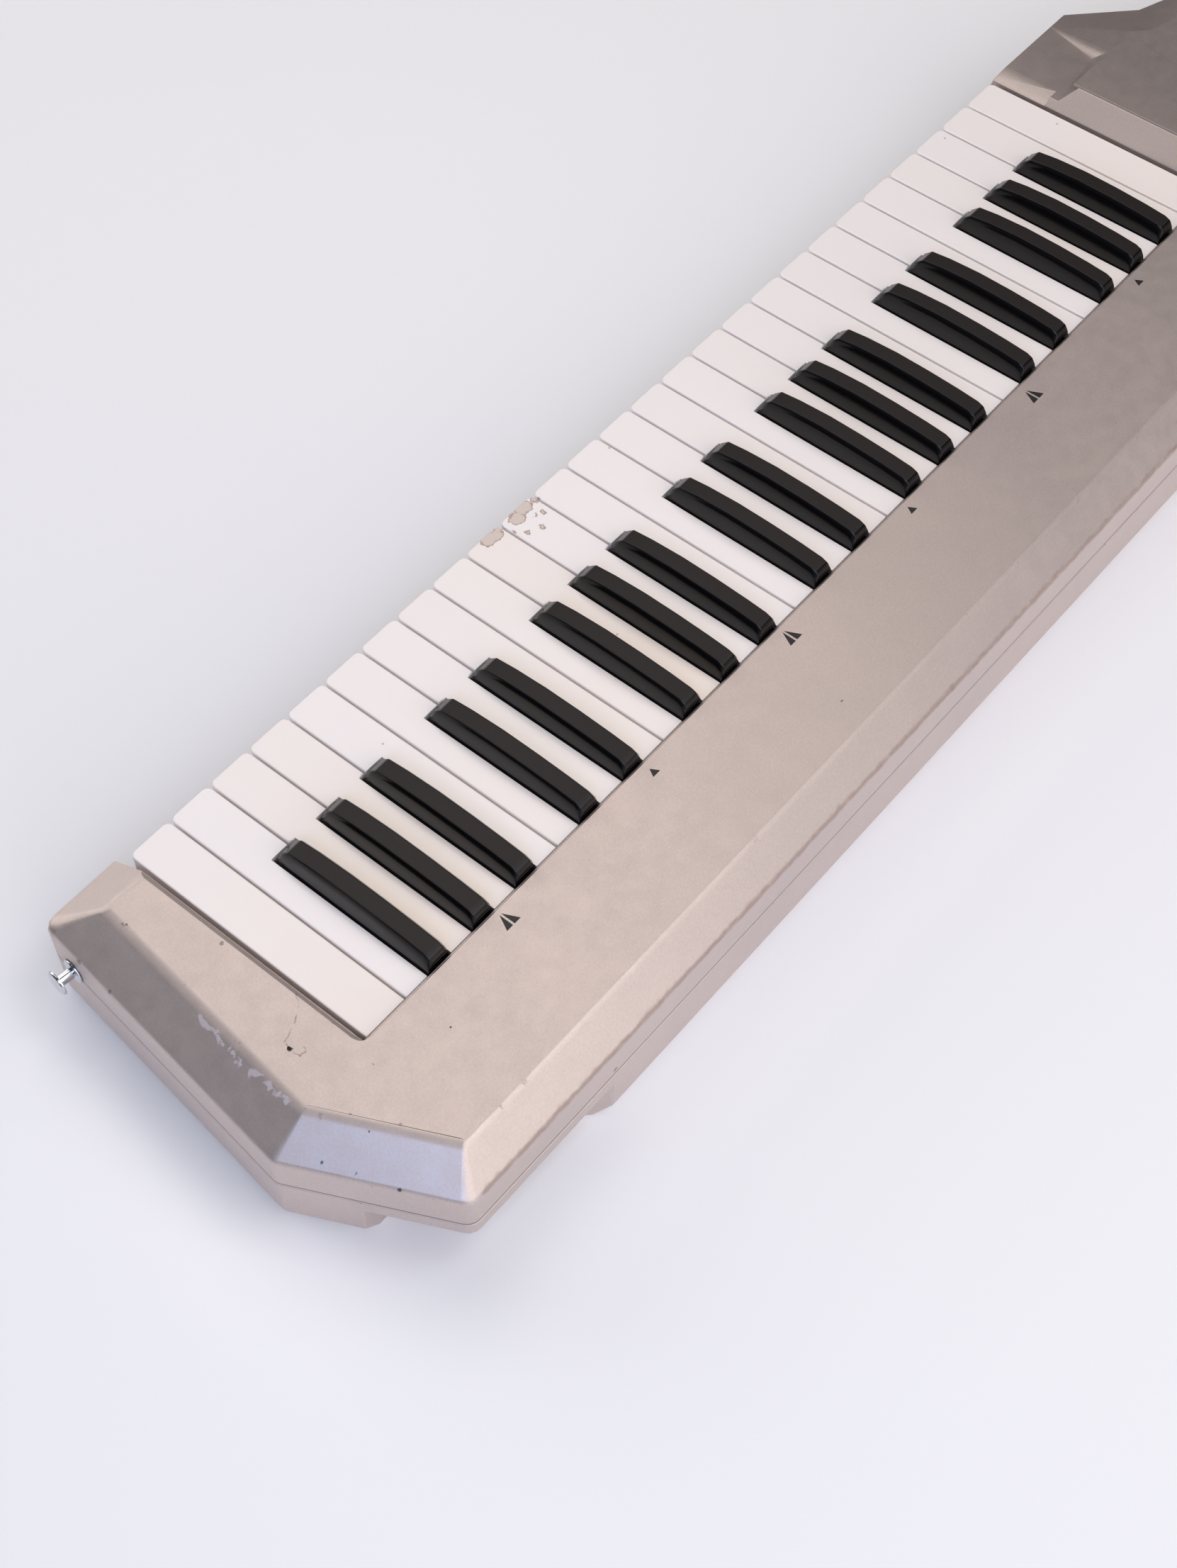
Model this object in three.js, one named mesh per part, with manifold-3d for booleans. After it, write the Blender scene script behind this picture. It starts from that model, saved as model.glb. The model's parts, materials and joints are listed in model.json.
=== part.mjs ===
// A shoulder keyboard (keytar) with 45 full-size keys, built as separate solids that fit together.
// Lengths are in millimetres. +X runs along the keys towards the high notes, +Y from the
// players' fingers towards the panel, and +Z up out of the keys. Pieces are placed from the high
// end of the keys, the panel's edge and the white keys' tops, and the whole group is then shifted
// so that its origin is the bottom centre of its box.

import * as THREE from 'three';
import { mergeVertices } from 'three/addons/utils/BufferGeometryUtils.js';
import Module from 'manifold-3d';

const wasm = await Module();
wasm.setup();

// Driving dimensions: the keys
const whiteCount = 27;
const keyPitch = 23.5;
const keyGap = 1;
const whiteLength = 134.6;
const whiteHeadLength = 47.6;
const whiteCornerRadius = 3;
const keyHeight = 18;
const keyWall = 1.8;
const keyRoof = 2.5;
const keyTailLength = 62;
const keyTailDrop = 3;
const keyEndGap = 1.2;
const blackWidth = 13;
const blackShoulderWidth = 11;
const blackTopWidth = 8;
const blackSideGap = 0.7;
const blackFrontGap = 1.5;
const blackRise = 11.6;
const blackShoulderDrop = 2.6;
// How far a black key sits past the boundary that it covers, as a share of the pitch, for the
// seven boundaries down from each C. null stands for a boundary that has no black key.
const blackShiftShares = [null, 0.14, 0, -0.14, null, 0.11, -0.11];
// The black key's top line: share of its seen length from the front, and share of its rise.
const blackProfileShares = [
  [0, 0.06], [0.03, 0.5], [0.075, 0.8], [0.2, 0.92], [0.4, 1],
  [0.62, 0.97], [0.82, 0.89], [0.95, 0.8], [0.985, 0.69], [1, 0.5],
];

// The rod that the keys turn on, inside the case
const rodRadius = 2;
const rodClearance = 0.35;
const rodSetback = 56;
const rodDepth = 12;

// The case: panel, bevels and walls
const wall = 2.8;
// How far a bevel's inner side is drawn in, and how far its foot is lowered, as shares of the wall
const innerBevelShare = 0.7;
const innerFootShare = 0.4;
const panelRise = 3;
const panelEdge = 2;
const panelDepth = 61.5;
const slotEndGap = 2;
const slotRimRun = 2.4;
const slotBackRimRun = 1.2;
const slotRimDrop = 1.3;
const slotRimRadius = 5;
const bevelDrop = 14;
const backBevelRun = 14.1;
const cornerBevelRun = 18;
const tailBevelRun = 20;
const frontBevelRun = 23;
const skirtDepth = 19;
const seamGap = 0.3;
const lowerDepth = 32;
const lowerEdgeDrop = 7;
const lowerEdgeRun = 6;
const frontWallSetback = 6.6;

// The tail end, at the high notes
const tailWidth = 41;
const tailLean = 17.2;
const cheekOverhang = 9.9;
const cornerRunX = 35.7;
const cornerRunY = 72.3;
const lowCornerRadius = 7;
const highCornerRadius = 2;

// The neck end, at the low notes
const neckCheekWidth = 67.5;
const neckCheekOverhang = 3.4;
const neckCheekBevel = 4;
const shoulderCut = 29;
const shoulderLength = 213.5;
const backStraight = 18.5;
const gripLength = 228;
const gripRootWidth = 80;
const gripEndWidth = 70;
const gripCentre = -38;
const gripBevelRun = 8;
const gripSideDepth = 6;
const gripDepth = 16;
const gripUnderRun = 13;
const gripEndRadius = 22;
const gripEndHighRadius = 14;
const gripEndTopRadius = 8;
const underSlopeRun = 12;
const underSlopeFootRun = 30;
// Where the control points of the shoulder's two curves lie between their ends, along and across
const frontCurveShares = [[0.4, 0.1], [0.75, 0.7]];
const backCurveShares = [0.46, 0.56];

// The raised crown on the shoulder and neck
const crownRise = 6;
const crownSlotFootRun = 4.3;
const crownSlotRun = 13;
const crownFrontRun = 43;
const crownCutRun = 29;
const crownGripRun = 15;
const crownBackRun = 30;
const crownSink = 1;
const padRise = 0.8;
const padBackShare = 0.4;
const cheekStepBackWidth = 44.5;
const cheekStepFrontWidth = 57;
const cheekStepSkew = 7;
const cheekStepRunX = -3;
const cheekStepRunY = 7;
const cheekStepRise = 12;
const cheekLipRun = 3;
const cheekLipDrop = 1.8;
const cheekRampRun = 10.5;

// The cable pocket in the lower case
const pocketRoofDepth = 7;
const pocketDepth = 41.1;
const pocketEndX = -45;
const pocketMouthX = -60.6;
const pocketSplay = 15.6;

// Sockets and the power switch, which show in the pocket
const socketDepth = 17;
const dataSocketX = 8;
const dataSocketRadius = 7.5;
const dataSocketBore = 5.8;
const dataSocketBlock = 20;
const powerSocketX = -14;
const powerSocketRadius = 4.5;
const powerSocketBore = 3;
const powerSocketPin = 1;
const socketBlockLength = 14;
const socketBoreDepth = 9;
const switchX = -34;
const switchTravel = 4;
const switchKnobWidth = 5;
const switchKnobHeight = 4.2;
const switchKnobOut = 3;
const switchBodyLength = 14;
const switchBodyDepth = 7;
const fitGap = 0.4;

// Circuit boards
const boardThickness = 1.6;
const mainBoardLength = 150;
const mainBoardWidth = 72;
const mainBoardRise = 6.6;
const chipLength = 28;
const chipWidth = 12;
const chipHeight = 2.5;
const contactBoardWidth = 32;
const contactBoardSetback = 62;
const contactStripWidth = 8;
const contactStripHeight = 4.6;

// The key chassis, pressed from sheet steel
const sheet = 2;
const chassisDepth = 32;
const chassisFrontGap = 4;
const chassisEndGap = 1.5;
const chassisFlange = 3;
const guideWidth = 5;
const guideLength = 8;
const guideTopDepth = 14;
const whiteGuideSetback = 22;
const blackGuideSetback = 12;
const columnWidth = 9;
const columnCount = 5;
const columnEndInset = 10;
const frontColumnInset = 12;
const backColumnInset = 6;

// Battery compartment, cells and door
const cellLength = 50;
const cellRadius = 7.1;
const cellRows = 4;
const cellColumns = 2;
const cellOverlap = 0.2;
const terminalRadius = 2.6;
const terminalLength = 1.5;
const compartmentX = -265;
const compartmentY = -25;
const compartmentMargin = 4;
const doorThickness = 2.3;
const doorGap = 0.6;

// Controls on the neck
const ribbonLength = 150;
const ribbonWidth = 12;
const ribbonThickness = 1.2;
const ribbonProud = 0.6;
const controlStart = 35;
const controlPitch = 17;
const barWidth = 12;
const barRise = 5;
const barDepth = 6;
const barCrownDrop = 1.6;
const barGap = 0.5;
const buttonLength = 14;
const buttonWidth = 10;
const buttonRise = 2.4;
const buttonDepth = 6;
const buttonSetback = 13;
const knobRadius = 9;
const knobTopRadius = 7.6;
const knobHeight = 12;
const knobEdge = 1.5;
const knobSetback = 55;
const knobShaftRadius = 3;
const knobShaftLength = 9;
const knobGap = 0.3;

// Strap pins
const pinFlangeRadius = 6;
const pinFlangeThickness = 1.6;
const pinStemRadius = 2.6;
const pinStemLength = 5.6;
const pinHeadRadius = 6;
const pinHeadThickness = 2.2;
const pinHeadEdge = 0.7;
const pinShankRadius = 1.8;
const pinDepth = 26.5;
const tailPinSetback = 18;
const neckPinDepth = 21;
const neckPinX = -600;

// Shared by all cuts: how far a cutter runs past what it cuts, and a small overlap of joined forms
const overrun = 12;
const lap = 0.5;
const roundSteps = 3;
const curveSteps = 7;
const fineSides = 20;
const plainSides = 10;
const cellSides = 12;

// Derived places
const keyboardLength = whiteCount * keyPitch;
const slotHighX = slotEndGap;
const slotLowX = -keyboardLength - slotEndGap;
const keyFrontY = -whiteLength;
const keyEndY = panelEdge - keyEndGap;
const whiteNotchY = keyFrontY + whiteHeadLength;
const blackFrontY = whiteNotchY + blackFrontGap;
const backY = panelEdge + panelDepth + backBevelRun;
const bevelZ = panelRise - bevelDrop;
const seamZ = bevelZ - skirtDepth;
const lowerZ = seamZ - seamGap;
const floorZ = seamZ - lowerDepth;
const trayZ = floorZ + wall;
const tailFrontX = slotHighX + tailWidth;
const tailBackX = tailFrontX + tailLean;
const cheekFrontY = keyFrontY - cheekOverhang;
const neckFrontY = keyFrontY - neckCheekOverhang;
const cornerY = backY - cornerRunY;
const frontWallY = keyFrontY + frontWallSetback;
const gripRootX = slotLowX - shoulderLength;
const gripEndX = gripRootX - gripLength;
const crownZ = panelRise + crownRise;
const chassisZ = -chassisDepth;
const pocketWallY = backY - pocketDepth;
const boardZ = trayZ + mainBoardRise;
const socketZ = seamZ - socketDepth;

const v2 = (x, y) => new THREE.Vector2(x, y);

// Solids and meshes

function solidOf(geometry) {
  const bare = geometry.index ? geometry.clone() : geometry;
  bare.deleteAttribute('normal');
  bare.deleteAttribute('uv');
  const merged = mergeVertices(bare);
  const corners = Array.from(merged.index.array);
  const triVerts = [];
  for (let i = 0; i < corners.length; i += 3) {
    const [a, b, c] = corners.slice(i, i + 3);
    if (a !== b && b !== c && c !== a) {
      triVerts.push(a, b, c);
    }
  }
  return new wasm.Manifold(new wasm.Mesh({
    numProp: 3,
    vertProperties: new Float32Array(merged.attributes.position.array),
    triVerts: new Uint32Array(triVerts),
  }));
}

function geometryOf(solid) {
  const mesh = solid.getMesh();
  const geometry = new THREE.BufferGeometry();
  geometry.setAttribute('position', new THREE.BufferAttribute(mesh.vertProperties, mesh.numProp));
  geometry.setIndex(new THREE.BufferAttribute(mesh.triVerts, 1));
  geometry.computeVertexNormals();
  return geometry;
}

const joined = (solids) => solids.reduce((all, one) => all.add(one));
const without = (solid, cutters) => cutters.reduce((left, cutter) => left.subtract(cutter), solid);

// A box between two corners
function block(low, high) {
  const size = high.map((value, axis) => value - low[axis]);
  const geometry = new THREE.BoxGeometry(...size);
  geometry.translate(...low.map((value, axis) => value + size[axis] / 2));
  return solidOf(geometry);
}

// A flat outline raised from one level to another
function prism(points, lowZ, highZ) {
  const shape = new THREE.Shape(points);
  const geometry = new THREE.ExtrudeGeometry(shape, { depth: highZ - lowZ, bevelEnabled: false });
  geometry.translate(0, 0, lowZ);
  return solidOf(geometry);
}

// A round bar between two points
function roundBar(radius, from, to, sides = fineSides) {
  const start = new THREE.Vector3(...from);
  const along = new THREE.Vector3(...to).sub(start);
  const geometry = new THREE.CylinderGeometry(radius, radius, along.length(), sides);
  geometry.translate(0, along.length() / 2, 0);
  const turn = new THREE.Quaternion().setFromUnitVectors(
    new THREE.Vector3(0, 1, 0), along.clone().normalize());
  geometry.applyQuaternion(turn);
  geometry.translate(...from);
  return solidOf(geometry);
}

// A closed skin through rings that have the same number of points, capped at both ends
function loft(rings, flat = (point) => v2(point.x, point.y)) {
  const count = rings[0].length;
  const positions = rings.flat().flatMap((point) => [point.x, point.y, point.z]);
  const faces = [];
  for (let ring = 0; ring < rings.length - 1; ring += 1) {
    for (let i = 0; i < count; i += 1) {
      const next = (i + 1) % count;
      const low = ring * count;
      const high = low + count;
      faces.push(low + i, low + next, high + next, low + i, high + next, high + i);
    }
  }
  const first = THREE.ShapeUtils.triangulateShape(rings[0].map(flat), []);
  first.forEach(([a, b, c]) => faces.push(c, b, a));
  const top = (rings.length - 1) * count;
  const last = THREE.ShapeUtils.triangulateShape(rings[rings.length - 1].map(flat), []);
  last.forEach(([a, b, c]) => faces.push(top + a, top + b, top + c));
  const geometry = new THREE.BufferGeometry();
  geometry.setAttribute('position', new THREE.Float32BufferAttribute(positions, 3));
  geometry.setIndex(faces);
  return solidOf(geometry);
}

const level = (points, z) => points.map((point) => new THREE.Vector3(point.x, point.y, z));

// A skin through flat outlines at their own levels
function stack(...pairs) {
  const upwards = pairs.slice().sort((a, b) => a[1] - b[1]);
  return loft(upwards.map(([points, z]) => level(points, z)));
}

// Flat outlines, counterclockwise

// Moves each edge inwards by its own run. Edges that almost line up share their mean run.
function inset(points, runs) {
  const count = points.length;
  const normals = points.map((point, i) => {
    const edge = points[(i + 1) % count].clone().sub(point).normalize();
    return v2(-edge.y, edge.x);
  });
  const run = Array.isArray(runs) ? runs : points.map(() => runs);
  const nearlyStraight = 0.3;
  return points.map((point, i) => {
    const before = (i + count - 1) % count;
    const [a, b] = [normals[before], normals[i]];
    const cross = a.x * b.y - a.y * b.x;
    if (Math.abs(cross) < nearlyStraight) {
      const mean = (run[before] + run[i]) / 2;
      return point.clone().add(a.clone().add(b).normalize().multiplyScalar(mean));
    }
    return point.clone().add(v2(
      (run[before] * b.y - run[i] * a.y) / cross,
      (run[i] * a.x - run[before] * b.x) / cross,
    ));
  });
}

// Rounds the outward corners that have a radius, each with the same number of steps.
function rounded(points, radii, steps = roundSteps) {
  const count = points.length;
  return points.flatMap((point, i) => {
    if (!radii[i]) {
      return [point];
    }
    const inward = point.clone().sub(points[(i + count - 1) % count]).normalize();
    const outward = points[(i + 1) % count].clone().sub(point).normalize();
    const turn = Math.acos(THREE.MathUtils.clamp(inward.dot(outward), -1, 1));
    const start = point.clone().addScaledVector(inward, -radii[i] * Math.tan(turn / 2));
    const centre = start.clone().addScaledVector(v2(-inward.y, inward.x), radii[i]);
    return Array.from({ length: steps + 1 }, (_, step) => (
      start.clone().rotateAround(centre, turn * step / steps)));
  });
}

const bezier = (...corners) => new THREE.CubicBezierCurve(...corners).getPoints(curveSteps);
const between = (from, to, share) => from + (to - from) * share;

// The body's plan from its key slot round the tail to the shoulder. Its first two points lie
// inside the slot, which is cut away later.
function bodyPlan() {
  const hiddenX = slotHighX - tailWidth;
  return [
    v2(slotLowX - wall, cheekFrontY / 2),
    v2(hiddenX, cheekFrontY / 2),
    v2(hiddenX, cheekFrontY),
    v2(tailFrontX, cheekFrontY),
    v2(tailBackX, cornerY),
    v2(tailBackX - cornerRunX, backY),
    v2(slotLowX - wall, backY),
  ];
}
const bodyBevelRuns = [0, 0, frontBevelRun, tailBevelRun, cornerBevelRun, backBevelRun, 0];
const bodyRadii = (radius) => [0, 0, 0, radius, radius, radius, 0];

// The shoulder and neck in plan. Each stretch has its points and, for every edge that starts at
// one of them, the runs of the bevel, of the crown's foot and top, and of the underside.
function neckStretches() {
  const rootFront = gripCentre - gripRootWidth / 2;
  const rootBack = gripCentre + gripRootWidth / 2;
  const endFront = gripCentre - gripEndWidth / 2;
  const endBack = gripCentre + gripEndWidth / 2;
  const cheekX = slotLowX - neckCheekWidth;
  const cutX = cheekX - shoulderCut;
  const cutY = neckFrontY + shoulderCut;
  const straightX = slotLowX - backStraight;
  const frontControls = frontCurveShares.map(([along, across]) => (
    v2(between(gripRootX, cutX, along), between(rootFront, cutY, across))));
  const frontCurve = bezier(v2(gripRootX, rootFront), ...frontControls, v2(cutX, cutY));
  const backControls = backCurveShares.map((along, i) => (
    v2(between(straightX, gripRootX, along), i ? rootBack : backY)));
  const backCurve = bezier(v2(straightX, backY), ...backControls, v2(gripRootX, rootBack));
  const grip = { bevel: gripBevelRun, top: crownGripRun };
  const follow = (points, from, to) => points.slice(0, -1).map((point, i) => ({
    point,
    bevel: between(from.bevel, to.bevel, i / curveSteps),
    top: between(from.top, to.top, i / curveSteps),
  }));
  const cut = { bevel: neckCheekBevel, top: crownCutRun };
  const back = { bevel: backBevelRun, top: crownBackRun };
  return [
    { point: v2(gripEndX, endFront), ...grip, round: true },
    ...follow(frontCurve, grip, cut),
    { point: v2(cutX, cutY), ...cut },
    { point: v2(cheekX, neckFrontY), bevel: neckCheekBevel, top: crownFrontRun },
    { point: v2(slotLowX, neckFrontY), bevel: 0, top: crownSlotRun, foot: crownSlotFootRun },
    { point: v2(slotLowX, backY), ...back },
    ...follow(backCurve, back, grip),
    { point: v2(gripRootX, rootBack), ...grip },
    { point: v2(gripEndX, endBack), ...grip, round: true },
  ];
}
const neckEdges = neckStretches();
const neckPlan = neckEdges.map((edge) => edge.point);
const neckRuns = (pick) => neckEdges.map(pick);
const neckRadii = (radius) => neckEdges.map((edge) => (edge.round ? radius : 0));
const isSlotSide = (edge) => edge.foot !== undefined;

// The lower case's plan under the keys and the tail
function trayPlan() {
  const cheekX = slotLowX - neckCheekWidth;
  const cutX = cheekX - shoulderCut;
  const curve = neckEdges.slice(curveSteps + 5).map((edge) => edge.point);
  return [
    v2(cutX, neckFrontY + shoulderCut),
    v2(cheekX, neckFrontY),
    v2(slotLowX, neckFrontY),
    v2(slotLowX, frontWallY),
    v2(slotHighX, frontWallY),
    v2(slotHighX, cheekFrontY),
    v2(tailFrontX, cheekFrontY),
    v2(tailBackX, cornerY),
    v2(tailBackX - cornerRunX, backY),
    ...curve.filter((point) => point.x > cheekX),
  ];
}
const tray = trayPlan();
const trayRuns = (run, slope) => tray.map((_, i) => (i === tray.length - 1 ? slope : run));
const trayRadii = (radius) => tray.map((point) => (point.x > slotHighX ? radius : 0));

// Pieces of the case

// Everything under the case's top surface, as if the case were solid
function upperMass() {
  const plan = bodyPlan();
  const low = rounded(plan, bodyRadii(lowCornerRadius));
  const high = rounded(inset(plan, bodyBevelRuns), bodyRadii(highCornerRadius));
  const body = stack([low, seamZ], [low, bevelZ], [high, panelRise]);
  const neckLow = rounded(neckPlan, neckRadii(gripEndRadius));
  const neckHigh = rounded(
    inset(neckPlan, neckRuns((edge) => edge.bevel)), neckRadii(gripEndHighRadius));
  const neck = stack([neckLow, seamZ], [neckLow, bevelZ], [neckHigh, panelRise]);
  return joined([body, neck, crown(0, 0).subtract(cheekStep(0))]);
}

// The crown, or the hollow under it when it is drawn in by a wall
function crown(drawnIn, lowered) {
  const footRuns = neckRuns((edge) => (edge.foot ?? edge.bevel) + drawnIn);
  const topRuns = neckRuns((edge) => edge.top + drawnIn);
  const foot = rounded(inset(neckPlan, footRuns), neckRadii(gripEndHighRadius));
  const top = rounded(inset(neckPlan, topRuns), neckRadii(gripEndTopRadius));
  const footZ = panelRise - crownSink - lowered;
  return stack([foot, footZ], [foot, panelRise - lowered], [top, crownZ - lowered]);
}

// What the flat cheek in front of the raised platform takes away from the crown. Its two inner
// sides lean back as they rise, which leaves the platform's bevel and a wedge beside the neck.
function cheekStep(drawnIn) {
  const frontY = neckFrontY - overrun;
  const outerX = slotLowX + overrun;
  const backEdge = neckFrontY + crownFrontRun - cheekStepRunY + drawnIn;
  const foot = [
    v2(outerX, frontY),
    v2(outerX, backEdge + cheekStepSkew),
    v2(slotLowX - cheekStepBackWidth - drawnIn, backEdge),
    v2(slotLowX - cheekStepFrontWidth - drawnIn, frontY),
  ];
  const lean = v2(cheekStepRunX, cheekStepRunY).multiplyScalar(cheekStepRise / crownRise);
  const top = foot.map((point) => point.clone().add(lean));
  const footZ = panelRise - (drawnIn ? wall : 0);
  return stack([foot, footZ], [top, footZ + cheekStepRise]);
}

// The flat platform on the crown beside the keys, raised a little
function platformPad() {
  const lowX = slotLowX - neckCheekWidth;
  const frontY = neckFrontY + crownFrontRun + lap;
  const backEdge = backY - crownBackRun - lap;
  const highX = slotLowX - crownSlotRun - lap;
  const plan = [
    v2(lowX, frontY),
    v2(highX, frontY),
    v2(highX, backEdge),
    v2(between(highX, lowX, padBackShare), backEdge),
  ];
  const round = [gripBevelRun, 0, 0, 0];
  return prism(rounded(plan, round), crownZ - padRise, crownZ + padRise);
}

// The slope along the slot's low end: steep beside the platform, a lip and a ramp on the cheek
function slotSlopes() {
  const outX = slotLowX + overrun;
  const steep = crownRise / (crownSlotRun - crownSlotFootRun);
  const topX = slotLowX - crownSlotRun;
  const stepY = neckFrontY + crownFrontRun - cheekStepRunY;
  const bevel = [
    v2(outX, crownZ - steep * (crownSlotRun + overrun)),
    v2(outX, crownZ + overrun),
    v2(topX, crownZ + overrun),
    v2(topX, crownZ),
  ];
  const ramp = [
    v2(outX, panelRise - cheekLipDrop - overrun),
    v2(outX, panelRise + lap),
    v2(slotLowX - cheekRampRun - lap, panelRise + lap),
    v2(slotLowX - cheekRampRun, panelRise),
    v2(slotLowX - cheekLipRun, panelRise - cheekLipDrop),
    v2(slotLowX, panelRise - cheekLipDrop - cheekLipRun / 2),
  ];
  return [
    sideways(bevel, stepY, panelEdge),
    sideways(ramp, neckFrontY - overrun, stepY),
  ];
}

// An outline in X and Z, drawn out along Y
function sideways(points, lowY, highY) {
  const outline = THREE.ShapeUtils.isClockWise(points) ? points.slice().reverse() : points;
  const rings = [highY, lowY].map((y) => outline.map((p) => new THREE.Vector3(p.x, y, p.y)));
  return loft(rings, (point) => v2(point.x, point.z));
}

function upperHollow() {
  const plan = bodyPlan();
  const innerRun = wall * innerBevelShare;
  const innerFootZ = bevelZ - wall * innerFootShare;
  const thick = bodyBevelRuns.map((run) => (run ? wall : -overrun));
  const low = inset(plan, thick);
  const high = inset(plan, bodyBevelRuns.map((run) => (run ? run + innerRun : -overrun)));
  const body = stack([low, seamZ - overrun], [low, innerFootZ], [high, panelRise - wall]);
  const through = (edge, run) => (isSlotSide(edge) ? -overrun : run);
  const neckLow = rounded(
    inset(neckPlan, neckRuns((edge) => through(edge, wall))), neckRadii(gripEndRadius - wall));
  const neckHigh = rounded(
    inset(neckPlan, neckRuns((edge) => through(edge, edge.bevel + innerRun))),
    neckRadii(gripEndHighRadius - wall));
  const neck = stack(
    [neckLow, seamZ - overrun], [neckLow, innerFootZ], [neckHigh, panelRise - wall]);
  const slotWalls = [
    block([slotHighX, cheekFrontY - overrun, seamZ - overrun],
      [slotHighX + wall, panelEdge, crownZ]),
    block([slotLowX - wall, neckFrontY - overrun, seamZ - overrun],
      [slotLowX, panelEdge, crownZ]),
  ];
  const raised = crown(wall, wall).subtract(cheekStep(wall));
  return without(joined([body, neck, raised]), slotWalls);
}

function keySlot() {
  return block([slotLowX, cheekFrontY - overrun, seamZ - overrun],
    [slotHighX, panelEdge, crownZ + overrun]);
}

// The low rim around the key slot, wider at the high end than along the panel
function slotRim() {
  const plan = [
    v2(slotLowX, keyFrontY - overrun),
    v2(slotHighX, keyFrontY - overrun),
    v2(slotHighX, panelEdge),
    v2(slotLowX, panelEdge),
  ];
  const grown = (share) => rounded(
    inset(plan, [-overrun, -slotRimRun * share, -slotBackRimRun * share, 0]),
    [0, 0, slotRimRadius, 0]);
  return stack(
    [grown(lap / slotRimRun), panelRise - slotRimDrop],
    [grown(1), panelRise],
    [grown(2), panelRise + slotRimDrop]);
}

// Openings in the crown for the controls
function controlCuts() {
  const cuts = [];
  const ribbonFloor = crownZ + ribbonProud - ribbonThickness - seamGap;
  cuts.push(block(
    [ribbonX - ribbonLength / 2 - fitGap, ribbonY - ribbonWidth / 2 - fitGap, ribbonFloor],
    [ribbonX + ribbonLength / 2 + fitGap, ribbonY + ribbonWidth / 2 + fitGap, crownZ + overrun]));
  cuts.push(block(
    [ribbonX - ribbonLength / 2 - barGap, barY - barWidth / 2 - barGap, crownZ - overrun],
    [ribbonX + ribbonLength / 2 + barGap, barY + barWidth / 2 + barGap, crownZ + overrun]));
  for (const y of [ribbonY, barY]) {
    cuts.push(block(
      [buttonX - buttonLength / 2 - fitGap, y - buttonWidth / 2 - fitGap, crownZ - overrun],
      [buttonX + buttonLength / 2 + fitGap, y + buttonWidth / 2 + fitGap, crownZ + overrun]));
  }
  cuts.push(roundBar(knobShaftRadius + fitGap,
    [knobX, gripCentre, crownZ - overrun], [knobX, gripCentre, crownZ + overrun], plainSides));
  return cuts;
}

function upperCase() {
  const mass = joined([upperMass(), platformPad()]);
  const pinHoles = strapPins.map((pin) => pinBore(pin));
  return without(mass, [
    upperHollow(), keySlot(), slotRim(), ...slotSlopes(), ...controlCuts(), ...pinHoles,
  ]);
}

// The pocket for cables, cut into the lower case behind the tail corner
function pocket(grow) {
  const plan = [
    v2(tailBackX + overrun, pocketWallY - grow),
    v2(tailBackX + overrun, backY + overrun),
    v2(pocketMouthX - grow, backY + overrun),
    v2(pocketMouthX - grow, backY),
    v2(pocketEndX - grow, backY - pocketSplay),
    v2(pocketEndX - grow, pocketWallY - grow),
  ];
  return prism(plan, floorZ - overrun, lowerZ - pocketRoofDepth + grow);
}

const compartmentLength = cellColumns * cellLength + 2 * compartmentMargin;
const compartmentWidth = cellRows * (2 * cellRadius - cellOverlap) + compartmentMargin;
const compartmentRoofZ = trayZ + 2 * cellRadius + 2 * seamGap;

function compartment(grow) {
  return block(
    [compartmentX - compartmentLength / 2 - grow, compartmentY - compartmentWidth / 2 - grow,
      floorZ - overrun],
    [compartmentX + compartmentLength / 2 + grow, compartmentY + compartmentWidth / 2 + grow,
      compartmentRoofZ + grow]);
}

function socketHoles() {
  const from = pocketWallY - wall - overrun;
  const to = pocketWallY + overrun;
  const half = (switchKnobWidth + switchTravel) / 2 + fitGap;
  const middle = switchX + switchTravel / 2;
  const high = switchKnobHeight / 2 + fitGap;
  return [
    roundBar(dataSocketRadius + fitGap, [dataSocketX, from, socketZ], [dataSocketX, to, socketZ]),
    roundBar(powerSocketRadius + fitGap, [powerSocketX, from, socketZ],
      [powerSocketX, to, socketZ]),
    block([middle - half, from, socketZ - high], [middle + half, to, socketZ + high]),
  ];
}

// Columns that the key chassis and the main board stand on
function columns() {
  const low = trayZ - lap;
  const post = (x, y, top) => block(
    [x - columnWidth / 2, y - columnWidth / 2, low], [x + columnWidth / 2, y + columnWidth / 2, top]);
  const chassisFoot = chassisZ - sheet - seamGap;
  const solids = [];
  for (let i = 0; i < columnCount; i += 1) {
    const share = i / (columnCount - 1);
    const frontX = between(-columnEndInset, -keyboardLength + columnEndInset, share);
    const backX = between(pocketMouthX - 2 * columnWidth, -keyboardLength + columnEndInset, share);
    solids.push(post(frontX, chassisFrontY + frontColumnInset, chassisFoot));
    solids.push(post(backX, chassisBackY - backColumnInset, chassisFoot));
  }
  const boardFoot = boardZ - boardThickness - seamGap;
  for (const x of [mainBoardHighX - columnWidth, mainBoardHighX - mainBoardLength + columnWidth]) {
    solids.push(post(x, pocketWallY - wall - mainBoardWidth + columnWidth / 2, boardFoot));
    solids.push(post(x, pocketWallY - wall - columnWidth, boardFoot));
  }
  return solids;
}

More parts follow.
